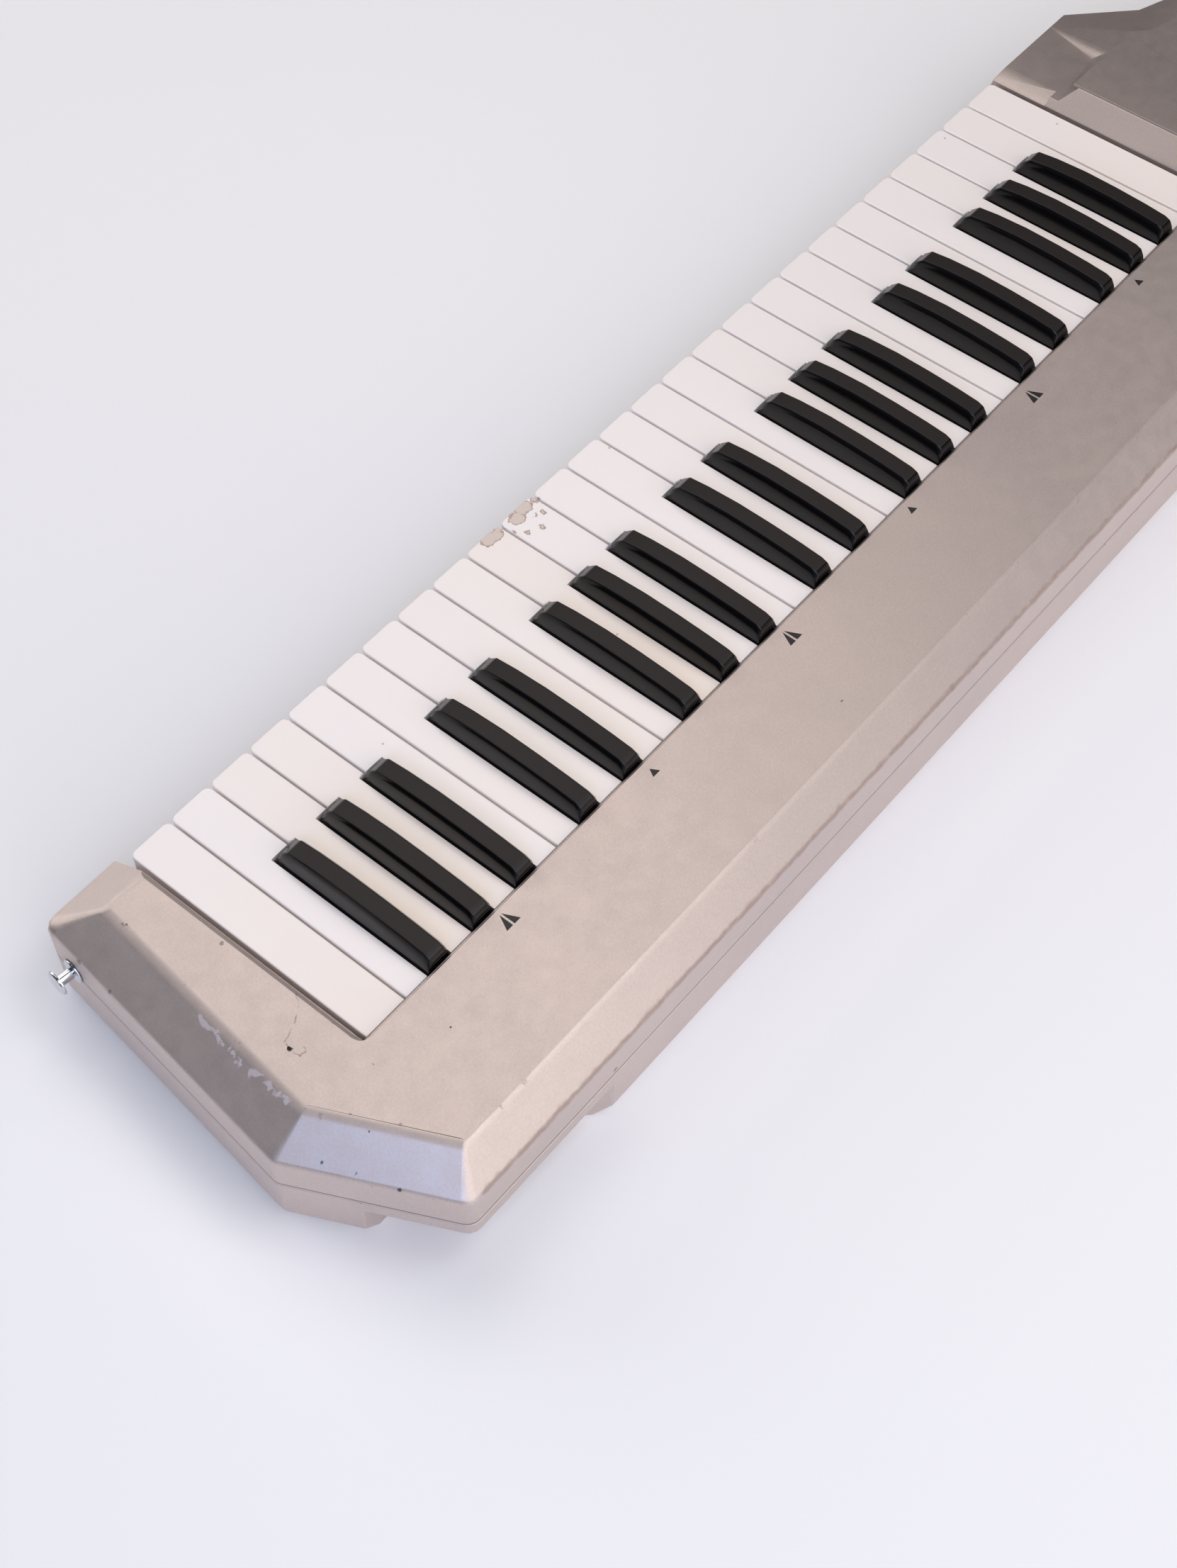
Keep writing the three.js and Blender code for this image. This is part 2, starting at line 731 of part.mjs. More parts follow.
function lowerCase() {
  const round = trayRadii(lowCornerRadius);
  const bottomZ = floorZ + lowerEdgeDrop;
  const trayMass = stack(
    [rounded(tray, round), lowerZ],
    [rounded(inset(tray, trayRuns(0, underSlopeRun)), round), bottomZ],
    [rounded(inset(tray, trayRuns(lowerEdgeRun, underSlopeFootRun)), round), floorZ]);
  const neckBottomZ = seamZ - gripDepth;
  const neckLow = rounded(neckPlan, neckRadii(gripEndRadius));
  const under = (edge) => (isSlotSide(edge) ? 0 : gripUnderRun);
  const neckUnder = rounded(inset(neckPlan, neckRuns(under)), neckRadii(gripEndTopRadius));
  const neckMass = stack(
    [neckLow, lowerZ], [neckLow, seamZ - gripSideDepth], [neckUnder, neckBottomZ]);

  const trayHollow = stack(
    [inset(tray, trayRuns(wall, wall)), lowerZ + overrun],
    [inset(tray, trayRuns(wall, underSlopeRun + wall)), bottomZ + wall / 2],
    [inset(tray, trayRuns(lowerEdgeRun + wall / 2, underSlopeFootRun + wall)), trayZ]);
  const inner = (edge, run) => (isSlotSide(edge) ? -wall : run);
  const neckHollowLow = inset(neckPlan, neckRuns((edge) => inner(edge, wall)));
  const neckHollowUnder = inset(neckPlan, neckRuns((edge) => inner(edge, gripUnderRun + wall / 2)));
  const neckHollow = stack(
    [rounded(neckHollowLow, neckRadii(gripEndRadius - wall)), lowerZ + overrun],
    [rounded(neckHollowLow, neckRadii(gripEndRadius - wall)), seamZ - gripSideDepth + wall / 2],
    [rounded(neckHollowUnder, neckRadii(gripEndTopRadius)), neckBottomZ + wall]);
  const hollow = without(joined([trayHollow, neckHollow]),
    [pocket(wall), compartment(wall)]);
  const shell = without(joined([trayMass, neckMass]), [hollow, pocket(0), compartment(0)]);
  return without(joined([shell, ...columns()]), socketHoles());
}

// Pieces under the keys

const chassisFrontY = frontWallY + chassisFrontGap + wall;
const chassisBackY = keyTailLength;
const chassisLowX = -keyboardLength + chassisEndGap - keyGap / 2;
const chassisHighX = -chassisEndGap + keyGap / 2;
const rodY = rodSetback;
const rodZ = -rodDepth;

function keyChassis() {
  const plate = block([chassisLowX, chassisFrontY, chassisZ - sheet],
    [chassisHighX, chassisBackY, chassisZ]);
  const flange = block([chassisLowX, chassisFrontY, chassisZ - lap],
    [chassisHighX, chassisFrontY + sheet, chassisZ + chassisFlange]);
  const web = block([chassisLowX, rodY - sheet / 2, chassisZ - lap],
    [chassisHighX, rodY + sheet / 2, rodZ]);
  const rod = roundBar(rodRadius, [chassisLowX, rodY, rodZ], [chassisHighX, rodY, rodZ], plainSides);
  const guide = (x, y) => block(
    [x - guideWidth / 2, y - guideLength / 2, chassisZ - lap],
    [x + guideWidth / 2, y + guideLength / 2, -guideTopDepth]);
  const guides = [
    ...whites.map((key) => guide((key.low + key.high) / 2, keyFrontY + whiteGuideSetback)),
    ...blacks.map((key) => guide(key.centre, blackFrontY + blackGuideSetback)),
  ];
  return joined([plate, flange, web, rod, ...guides]);
}

function contactBoard() {
  const low = -contactBoardSetback;
  const boardBottom = chassisZ + seamGap;
  const boardTop = boardBottom + boardThickness;
  const middle = low + contactBoardWidth / 2;
  return joined([
    block([chassisLowX, low, boardBottom], [chassisHighX, low + contactBoardWidth, boardTop]),
    block([chassisLowX + sheet, middle - contactStripWidth / 2, boardTop - lap],
      [chassisHighX - sheet, middle + contactStripWidth / 2, boardTop + contactStripHeight]),
  ]);
}

const mainBoardHighX = dataSocketX + dataSocketBlock;

function mainBoard() {
  const edgeY = pocketWallY - wall - fitGap;
  const bottom = boardZ - boardThickness;
  const board = block([mainBoardHighX - mainBoardLength, edgeY - mainBoardWidth, bottom],
    [mainBoardHighX, edgeY, boardZ]);
  const socket = (x, radius, bore) => {
    const body = block([x - radius - sheet, edgeY - socketBlockLength, bottom],
      [x + radius + sheet, edgeY, socketZ + radius]);
    const barrel = roundBar(radius, [x, edgeY - lap, socketZ], [x, pocketWallY, socketZ]);
    const mouth = roundBar(bore, [x, pocketWallY - socketBoreDepth, socketZ],
      [x, pocketWallY + overrun, socketZ]);
    return joined([body, barrel]).subtract(mouth);
  };
  const pin = roundBar(powerSocketPin,
    [powerSocketX, pocketWallY - socketBoreDepth - lap, socketZ],
    [powerSocketX, pocketWallY - sheet, socketZ], plainSides);
  const middle = switchX + switchTravel / 2;
  const switchBody = block(
    [middle - switchBodyLength / 2, edgeY - switchBodyDepth, bottom],
    [middle + switchBodyLength / 2, edgeY, socketZ + switchKnobHeight]);
  const chip = block(
    [mainBoardHighX - mainBoardLength / 2 - chipLength, edgeY - mainBoardWidth / 2, boardZ - lap],
    [mainBoardHighX - mainBoardLength / 2, edgeY - mainBoardWidth / 2 + chipWidth,
      boardZ + chipHeight]);
  return joined([
    board,
    socket(dataSocketX, dataSocketRadius, dataSocketBore),
    socket(powerSocketX, powerSocketRadius, powerSocketBore),
    pin, switchBody, chip,
  ]);
}

function powerSwitch() {
  const inY = pocketWallY - wall;
  return block(
    [switchX - switchKnobWidth / 2, inY, socketZ - switchKnobHeight / 2],
    [switchX + switchKnobWidth / 2, pocketWallY + switchKnobOut, socketZ + switchKnobHeight / 2]);
}

function batteryCells() {
  const rowPitch = 2 * cellRadius - cellOverlap;
  const z = compartmentRoofZ - seamGap - cellRadius;
  const solids = [];
  for (let column = 0; column < cellColumns; column += 1) {
    for (let row = 0; row < cellRows; row += 1) {
      const x = compartmentX + (column - cellColumns / 2) * cellLength;
      const y = compartmentY + (row - (cellRows - 1) / 2) * rowPitch;
      const flip = (row % 2) * 2 - 1;
      const tipX = flip > 0 ? x + cellLength : x;
      solids.push(roundBar(cellRadius, [x, y, z], [x + cellLength, y, z], cellSides));
      solids.push(roundBar(terminalRadius, [tipX - flip * lap, y, z],
        [tipX + flip * terminalLength, y, z], plainSides));
    }
  }
  return joined(solids);
}

function batteryDoor() {
  const halfLength = compartmentLength / 2 - doorGap;
  const halfWidth = compartmentWidth / 2 - doorGap;
  return block([compartmentX - halfLength, compartmentY - halfWidth, floorZ],
    [compartmentX + halfLength, compartmentY + halfWidth, floorZ + doorThickness]);
}

// Keys

// The centre of the black key on a boundary counted from the high end, or null
function blackCentre(boundary) {
  const share = blackShiftShares[(boundary - 1) % blackShiftShares.length];
  const outside = boundary < 1 || boundary >= whiteCount;
  return outside || share === null ? null : (share - boundary) * keyPitch;
}

const twoDigits = (number) => String(number).padStart(2, '0');

// Keys are numbered from the low end, as players count them.
function whiteLayout() {
  const slotHalf = blackWidth / 2 + blackSideGap;
  return Array.from({ length: whiteCount }, (_, i) => {
    const high = -i * keyPitch - keyGap / 2;
    const low = -(i + 1) * keyPitch + keyGap / 2;
    const above = blackCentre(i);
    const below = blackCentre(i + 1);
    return {
      name: `white_key_${twoDigits(whiteCount - i)}`,
      low,
      high,
      stemLow: below === null ? low : below + slotHalf,
      stemHigh: above === null ? high : above - slotHalf,
    };
  });
}

function blackLayout() {
  const centres = Array.from({ length: whiteCount }, (_, i) => blackCentre(i + 1))
    .filter((centre) => centre !== null);
  return centres.map((centre, i) => ({
    name: `black_key_${twoDigits(centres.length - i)}`,
    centre,
  }));
}

const whites = whiteLayout();
const blacks = blackLayout();

// The notch that sits over the chassis's rod and web
function rodNotch(lowX, highX) {
  const radius = rodRadius + rodClearance;
  const from = lowX - overrun;
  const to = highX + overrun;
  return roundBar(radius, [from, rodY, rodZ], [to, rodY, rodZ], plainSides)
    .add(block([from, rodY - radius, -keyHeight - overrun], [to, rodY + radius, rodZ]));
}

function whiteKey({ low, high, stemLow, stemHigh }) {
  const plan = (side, endY) => {
    const head = [v2(low + side, keyFrontY + side), v2(high - side, keyFrontY + side)];
    const right = stemHigh < high
      ? [v2(high - side, whiteNotchY - side), v2(stemHigh - side, whiteNotchY - side)] : [];
    const left = stemLow > low
      ? [v2(stemLow + side, whiteNotchY - side), v2(low + side, whiteNotchY - side)] : [];
    return [...head, ...right, v2(stemHigh - side, endY), v2(stemLow + side, endY), ...left];
  };
  const outline = plan(0, keyTailLength);
  const radii = outline.map((_, i) => (i < 2 ? whiteCornerRadius : 0));
  const blockEndY = rodY - 3 * rodRadius;
  return without(prism(rounded(outline, radii), -keyHeight, 0), [
    block([low - overrun, keyEndY, -keyTailDrop],
      [high + overrun, keyTailLength + overrun, overrun]),
    prism(plan(keyWall, keyEndY - keyWall), -keyHeight - overrun, -keyRoof),
    block([stemLow + keyWall, whiteNotchY, -keyHeight - overrun],
      [stemHigh - keyWall, blockEndY, -keyTailDrop - keyRoof]),
    rodNotch(low, high),
  ]);
}

function blackKey({ centre }) {
  const length = keyEndY - blackFrontY;
  const rings = blackProfileShares.map(([along, rise]) => {
    const y = blackFrontY + along * length;
    const top = rise * blackRise;
    const shoulder = Math.max(top - blackShoulderDrop, top / 2);
    const side = [
      [blackWidth / 2, -keyHeight],
      [blackWidth / 2, 0],
      [blackShoulderWidth / 2, shoulder],
      [blackTopWidth / 2, top],
    ];
    const other = side.map(([x, z]) => [-x, z]).reverse();
    return [...side, ...other].map(([x, z]) => new THREE.Vector3(centre + x, y, z));
  });
  const body = loft(rings.reverse(), (point) => v2(point.x, point.z));
  const tail = block([centre - blackWidth / 2, keyEndY - lap, -keyHeight],
    [centre + blackWidth / 2, keyTailLength, -keyTailDrop]);
  const half = blackWidth / 2 - keyWall;
  const blockEndY = rodY - 3 * rodRadius;
  return without(joined([body, tail]), [
    block([centre - half, blackFrontY + keyWall, -keyHeight - overrun],
      [centre + half, keyEndY - keyWall, -keyRoof]),
    block([centre - half, blackFrontY + keyWall, -keyHeight - overrun],
      [centre + half, blockEndY, -keyTailDrop - keyRoof]),
    rodNotch(centre, centre),
  ]);
}

// Controls on the neck

const ribbonX = gripRootX - controlStart - ribbonLength / 2;
const ribbonY = gripCentre - controlPitch / 2;
const barY = gripCentre + controlPitch / 2;
const buttonX = gripRootX - buttonSetback;
const knobX = gripRootX + knobSetback;

function bendRibbon() {
  const top = crownZ + ribbonProud;
  return block(
    [ribbonX - ribbonLength / 2, ribbonY - ribbonWidth / 2, top - ribbonThickness],
    [ribbonX + ribbonLength / 2, ribbonY + ribbonWidth / 2, top]);
}

// A long bar with a crowned back, which is pressed down along its edge
function modulationBar() {
  const half = barWidth / 2;
  const section = [
    v2(-half, -barDepth), v2(half, -barDepth), v2(half, barRise - barCrownDrop),
    v2(half / 2, barRise), v2(-half / 2, barRise), v2(-half, barRise - barCrownDrop),
  ];
  const rings = [ribbonX - ribbonLength / 2, ribbonX + ribbonLength / 2].map((x) => (
    section.map((p) => new THREE.Vector3(x, barY + p.x, crownZ + p.y))));
  return loft(rings, (point) => v2(point.y, point.z));
}

function octaveButton(y) {
  return block(
    [buttonX - buttonLength / 2, y - buttonWidth / 2, crownZ - buttonDepth],
    [buttonX + buttonLength / 2, y + buttonWidth / 2, crownZ + buttonRise]);
}

// A shape turned about its own axis, from pairs of radius and height
function turned(pairs, sides = fineSides) {
  const geometry = new THREE.LatheGeometry(pairs.map(([r, z]) => v2(r, z)), sides);
  geometry.rotateX(Math.PI / 2);
  return geometry;
}

function volumeKnob() {
  const geometry = turned([
    [0, -knobShaftLength], [knobShaftRadius, -knobShaftLength], [knobShaftRadius, knobGap],
    [knobRadius, knobGap], [knobRadius, knobHeight / 3],
    [knobTopRadius, knobHeight - knobEdge], [knobTopRadius - knobEdge, knobHeight],
    [0, knobHeight],
  ]);
  geometry.translate(knobX, gripCentre, crownZ);
  return solidOf(geometry);
}

// Strap pins: where each stands on the case, and which way it points

function tailPinPlace() {
  const edge = v2(tailLean, cornerY - cheekFrontY).normalize();
  const along = tailPinSetback;
  return {
    name: 'strap_pin_tail',
    foot: [tailFrontX + edge.x * along, cheekFrontY + edge.y * along, -pinDepth],
    out: [edge.y, -edge.x, 0],
  };
}

const strapPins = [
  tailPinPlace(),
  { name: 'strap_pin_neck', foot: [neckPinX, backY, -neckPinDepth], out: [0, 1, 0] },
];

function onFace(geometry, { foot, out }) {
  const turn = new THREE.Quaternion().setFromUnitVectors(
    new THREE.Vector3(0, 0, 1), new THREE.Vector3(...out));
  geometry.applyQuaternion(turn);
  geometry.translate(...foot);
  return solidOf(geometry);
}

function strapPin(pin) {
  const stemEnd = seamGap + pinFlangeThickness + pinStemLength;
  const headEnd = stemEnd + pinHeadThickness;
  return onFace(turned([
    [0, -wall], [pinShankRadius, -wall], [pinShankRadius, seamGap],
    [pinFlangeRadius, seamGap], [pinFlangeRadius, seamGap + pinFlangeThickness / 2],
    [pinStemRadius, seamGap + pinFlangeThickness], [pinStemRadius, stemEnd],
    [pinHeadRadius, stemEnd + pinHeadEdge], [pinHeadRadius, headEnd - pinHeadEdge],
    [pinHeadRadius - pinHeadEdge, headEnd], [0, headEnd],
  ]), pin);
}

function pinBore(pin) {
  const radius = pinShankRadius + fitGap;
  return onFace(turned([[0, -overrun], [radius, -overrun], [radius, overrun], [0, overrun]],
    plainSides), pin);
}

// Finishes

const finish = (color, roughness, metalness = 0) => (
  { color, roughness, metalness, flatShading: true });
const finishes = {
  silverPaint: finish('#b8adab', 0.42, 0.35),
  whiteKeys: finish('#efe8e2', 0.3),
  blackKeys: finish('#1b1a1b', 0.2),
  steel: finish('#8f9499', 0.45, 0.9),
  chrome: finish('#c9ccd0', 0.12, 1),
  board: finish('#2c5a3c', 0.55),
  cell: finish('#3a3d44', 0.4, 0.3),
  blackPlastic: finish('#232427', 0.5),
  greyPlastic: finish('#55565c', 0.5),
};

const group = new THREE.Group();

function place(name, solid, look) {
  const mesh = new THREE.Mesh(geometryOf(solid), new THREE.MeshStandardMaterial(look));
  mesh.name = name;
  group.add(mesh);
}

place('upper_case', upperCase(), finishes.silverPaint);
place('lower_case', lowerCase(), finishes.silverPaint);
place('key_chassis', keyChassis(), finishes.steel);
place('contact_board', contactBoard(), finishes.board);
place('main_board', mainBoard(), finishes.board);
place('battery_cells', batteryCells(), finishes.cell);
place('battery_door', batteryDoor(), finishes.silverPaint);
place('power_switch', powerSwitch(), finishes.blackPlastic);
place('bend_ribbon', bendRibbon(), finishes.blackPlastic);
place('modulation_bar', modulationBar(), finishes.greyPlastic);
place('octave_down_button', octaveButton(ribbonY), finishes.greyPlastic);
place('octave_up_button', octaveButton(barY), finishes.greyPlastic);
place('volume_knob', volumeKnob(), finishes.blackPlastic);
strapPins.forEach((pin) => place(pin.name, strapPin(pin), finishes.chrome));
whites.forEach((key) => place(key.name, whiteKey(key), finishes.whiteKeys));
blacks.forEach((key) => place(key.name, blackKey(key), finishes.blackKeys));

// The origin moves to the bottom centre of the whole instrument.
const box = new THREE.Box3().setFromObject(group);
const middle = box.getCenter(new THREE.Vector3());
group.position.set(-middle.x, -middle.y, -box.min.z);
group.updateMatrixWorld(true);

export default group;
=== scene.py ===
# %% [markdown]
# # A shoulder keyboard in pearl silver
#
# The real object is a stage keyboard that hangs from a strap like a guitar. It has 45 full-size
# keys, a faceted plastic case painted pearl silver, and a neck with a few controls. Its sizes and
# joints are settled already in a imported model, which is loaded here as a fixed frame. This lesson
# gives that frame its looks: rounded edges, small parts that repeat, and a finish for each
# material.

# %% Load the fixed frame
import json
import math

import bmesh
import bpy
from mathutils import Matrix, Vector
from mathutils.bvhtree import BVHTree

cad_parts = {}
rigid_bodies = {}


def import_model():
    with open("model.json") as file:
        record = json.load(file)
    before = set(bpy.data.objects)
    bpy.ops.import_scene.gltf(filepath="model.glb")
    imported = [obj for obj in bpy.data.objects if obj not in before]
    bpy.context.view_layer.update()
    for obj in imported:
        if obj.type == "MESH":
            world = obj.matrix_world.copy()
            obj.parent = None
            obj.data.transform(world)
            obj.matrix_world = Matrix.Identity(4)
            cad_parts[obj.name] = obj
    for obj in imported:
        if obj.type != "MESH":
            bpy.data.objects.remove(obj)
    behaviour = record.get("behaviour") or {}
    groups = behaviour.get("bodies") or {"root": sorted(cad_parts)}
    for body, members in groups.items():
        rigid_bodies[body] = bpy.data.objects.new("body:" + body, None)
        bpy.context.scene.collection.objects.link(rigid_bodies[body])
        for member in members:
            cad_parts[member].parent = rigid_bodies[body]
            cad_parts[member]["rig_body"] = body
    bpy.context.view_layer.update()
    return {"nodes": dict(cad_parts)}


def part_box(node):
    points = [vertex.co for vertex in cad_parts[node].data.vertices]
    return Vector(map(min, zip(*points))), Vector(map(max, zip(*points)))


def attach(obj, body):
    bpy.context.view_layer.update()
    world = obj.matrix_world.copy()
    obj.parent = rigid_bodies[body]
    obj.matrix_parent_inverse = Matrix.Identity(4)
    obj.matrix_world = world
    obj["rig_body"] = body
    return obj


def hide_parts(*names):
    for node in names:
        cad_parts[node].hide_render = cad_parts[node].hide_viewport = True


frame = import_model()

# %% [markdown]
# Lengths are easiest to say in millimetres, from the point where the highest white key, the edge
# of the panel and the tops of the keys meet. The frame itself is in metres. The point is found
# from the highest white key's own box.

# %% Measure from the keys
MM = 0.001
WHITE_LENGTH = 134.6
HALF_KEY_GAP = 0.5

high_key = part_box("white_key_27")
KEY_POINT = Vector((
    high_key[1].x + HALF_KEY_GAP * MM,
    high_key[0].y + WHITE_LENGTH * MM,
    high_key[1].z,
))


def at(x, y, z):
    """A place given in millimetres from the key point, as a point of the frame."""
    return KEY_POINT + Vector((x, y, z)) * MM


def from_keys(point):
    """A point of the frame in millimetres from the key point."""
    return (Vector(point) - KEY_POINT) / MM


print("key point", [round(value, 4) for value in KEY_POINT])

# %% [markdown]
# The camera stands where the photographer stood: above the back of the high end, looking down
# the keys. Its place and turn were solved from the even spacing of the keys. The picture is
# upright, so the lens is set against its long side.

# %% Stand the camera where the photographer stood
LENS_MM = 54.44
SENSOR_MM = 36
CAMERA_AT = (282.8, 366.0, 829.7)
TO_RIGHT = Vector((-0.64117721, 0.76728937, -0.0126021))
TO_TOP = Vector((-0.636118, -0.52223633, 0.56799922))
FAR_CLIP = 50

camera = bpy.data.objects.new("camera", bpy.data.cameras.new("camera"))
bpy.context.scene.collection.objects.link(camera)
bpy.context.scene.camera = camera
camera.data.sensor_fit = "VERTICAL"
camera.data.sensor_height = SENSOR_MM
camera.data.lens = LENS_MM
camera.data.clip_end = FAR_CLIP
turn = Matrix((TO_RIGHT, TO_TOP, TO_RIGHT.cross(TO_TOP))).transposed().to_4x4()
camera.matrix_world = Matrix.Translation(at(*CAMERA_AT)) @ turn
print("camera", [round(value, 3) for value in camera.location])

# %% [markdown]
# Materials are made of nodes, and one small function adds any node in one line, here and later
# in Geometry Nodes. A second one turns a colour as screens show it into the linear colour that
# shaders work in.

# %% Helpers for materials


def linear(hex_colour):
    """An sRGB hex value as a linear colour with full alpha."""
    shares = [int(hex_colour[i:i + 2], 16) / 255 for i in (1, 3, 5)]
    return [s / 12.92 if s <= 0.04045 else ((s + 0.055) / 1.055) ** 2.4 for s in shares] + [1]


def add(tree, kind, inputs=None, to=None, **settings):
    """Adds one node and gives back its result. Each input is a value, or the result of an
    earlier node. If to is given, the result is also linked to that input of another node."""
    node = tree.nodes.new(kind)
    for name, value in settings.items():
        setattr(node, name, value)
    for key, value in (inputs or {}).items():
        if isinstance(value, bpy.types.NodeSocket):
            tree.links.new(value, node.inputs[key])
        else:
            node.inputs[key].default_value = value
    result = next((out for out in node.outputs if out.enabled), None)
    if to is not None:
        tree.links.new(result, to)
    return result


def start_material(name, **constants):
    """A new material, its nodes, its shader and its Object coordinates."""
    material = bpy.data.materials.new(name)
    material.use_nodes = True
    tree = material.node_tree
    shader = tree.nodes["Principled BSDF"]
    for socket, value in constants.items():
        shader.inputs[socket.replace("_", " ")].default_value = value
    place = add(tree, "ShaderNodeTexCoord").node.outputs["Object"]
    return material, tree, shader, place


def per(size_mm):
    """The scale that makes a pattern's cells this size, for coordinates in metres."""
    return 1000 / size_mm


print("helpers ready: linear mid grey", round(linear("#808080")[0], 3))

# %% [markdown]
# Wear needs two measures: how far a place is from a point, and how far it is from a line. Marks
# painted as a picture would have to be unwrapped onto the piece. A distance needs no unwrapping
# and holds from every side. No real mark has a clean outline, so the distances are measured in
# coordinates that noise has bent.

# %% Helpers for wear


def near_point(tree, place, point):
    """How far each place is from a point."""
    return add(tree, "ShaderNodeVectorMath", {0: place, 1: point}, operation="DISTANCE")


def near_line(tree, place, start, end):
    """How far each place is from the line between two points."""
    whole = end - start
    from_start = add(tree, "ShaderNodeVectorMath", {0: place, 1: start}, operation="SUBTRACT")
    along = add(tree, "ShaderNodeVectorMath", {
        0: from_start, 1: whole / whole.length_squared}, operation="DOT_PRODUCT")
    share = add(tree, "ShaderNodeClamp", {"Value": along})
    foot = add(tree, "ShaderNodeVectorMath", {0: whole, "Scale": share}, operation="SCALE")
    return add(tree, "ShaderNodeVectorMath", {0: from_start, 1: foot}, operation="DISTANCE")


def bent_by_noise(tree, place, start, cell_mm, reach_mm, detail, roughness):
    """Coordinates that noise shifts from start, by up to half the reach each way."""
    noise = add(tree, "ShaderNodeTexNoise", {
        "Vector": place, "Scale": per(cell_mm), "Detail": detail, "Roughness": roughness})
    centred = add(tree, "ShaderNodeVectorMath", {
        0: noise.node.outputs["Color"], 1: (0.5, 0.5, 0.5)}, operation="SUBTRACT")
    return add(tree, "ShaderNodeVectorMath", {
        0: centred, 1: (reach_mm * MM,) * 3, 2: start}, operation="MULTIPLY_ADD")


def highest(tree, values):
    """The largest of several values at each place."""
    most = values[0]
    for value in values[1:]:
        most = add(tree, "ShaderNodeMath", {0: most, 1: value}, operation="MAXIMUM")
    return most


def mark(tree, under, distance, radius_mm, colour, strength, soft=0.6):
    """Lays a colour over another within a distance, with a soft rim."""
    inside = add(tree, "ShaderNodeMapRange", {
        "Value": distance, "From Min": radius_mm * soft * MM, "From Max": radius_mm * MM,
        "To Min": strength, "To Max": 0.0}, interpolation_type="SMOOTHSTEP")
    return add(tree, "ShaderNodeMix", {
        "Factor": inside, "A": under, "B": linear(colour)}, data_type="RGBA")


print("a distance of 1 mm is", 1 * MM, "in the materials' coordinates")

# %% [markdown]
# The case is moulded ABS with a pearl silver lacquer sprayed over it. Tiny mica flakes in the
# lacquer make it brighter where it turns towards the light. It is neither plain paint nor bare
# metal, so the shader gets most of a metal's behaviour under a thin clear coat. Two noises vary
# its warm grey: the flakes, and the slow clouding of old lacquer.

# %% Pearl silver lacquer, the paint
lacquer, tree, shader, place = start_material(
    "pearl_silver_lacquer_on_ABS",
    IOR=1.5, Coat_Weight=0.1, Coat_Roughness=0.3, Coat_IOR=1.5)

# Flakes are 0.05 mm on the real one. They are drawn at 0.9 mm, the finest that shows.
flakes = add(tree, "ShaderNodeTexNoise", {"Vector": place, "Scale": per(0.9), "Detail": 1.0})
sparkle = add(tree, "ShaderNodeMapRange", {
    "Value": flakes, "From Min": 0.25, "From Max": 0.75, "To Min": 0.95, "To Max": 1.05})
clouds = add(tree, "ShaderNodeTexNoise", {
    "Vector": place, "Scale": per(70), "Detail": 4.0, "Roughness": 0.6})
clouding = add(tree, "ShaderNodeMapRange", {
    "Value": clouds, "From Min": 0.3, "From Max": 0.7, "To Min": 0.965, "To Max": 1.03})
# The shoulder and the neck, which lie beyond the low end of the keys, are painted darker: painted
# shade for the light that falls off towards the neck end.
FULL_SHADE_X = -690
NO_SHADE_X = -560
along = add(tree, "ShaderNodeSeparateXYZ", {"Vector": place})
neck_end_painted_shade = add(tree, "ShaderNodeMapRange", {
    "Value": along, "From Min": at(FULL_SHADE_X, 0, 0).x, "From Max": at(NO_SHADE_X, 0, 0).x,
    "To Min": 0.72, "To Max": 1.0}, interpolation_type="SMOOTHSTEP")

tone = sparkle
for other in (clouding, neck_end_painted_shade):
    tone = add(tree, "ShaderNodeMath", {0: tone, 1: other}, operation="MULTIPLY")
warmth = add(tree, "ShaderNodeMix", {
    "Factor": clouds, "A": linear("#CFC2BE"), "B": linear("#D0C1BA")}, data_type="RGBA")
paint = add(tree, "ShaderNodeVectorMath", {0: warmth, "Scale": tone}, operation="SCALE")
print("paint nodes", len(tree.nodes))

# %% [markdown]
# Every rounded edge is rubbed a little darker in places. Each mesh will carry an attribute,
# "edge", that is 1 along the middle of its roundings, and noise decides where it counts. Along
# the tail's ridge the lacquer has flaked off down to the pale primer, which has no pearl in it,
# so the metal share falls to nothing there.

# %% Pearl silver lacquer, rubbed edges and bare primer
bent = bent_by_noise(tree, place, place, cell_mm=5, reach_mm=3.2, detail=3.0, roughness=0.5)
rubbed = add(tree, "ShaderNodeAttribute", attribute_name="edge").node.outputs["Fac"]
patches = add(tree, "ShaderNodeTexNoise", {
    "Vector": place, "Scale": per(9), "Detail": 6.0, "Roughness": 0.72})
rub_noise = add(tree, "ShaderNodeMapRange", {"Value": patches, "From Min": 0.62, "From Max": 0.7})
rub = add(tree, "ShaderNodeMath", {0: rubbed, 1: rub_noise}, operation="MULTIPLY")
paint = add(tree, "ShaderNodeMix", {
    "Factor": rub, "A": paint, "B": linear("#8E8580")}, data_type="RGBA")

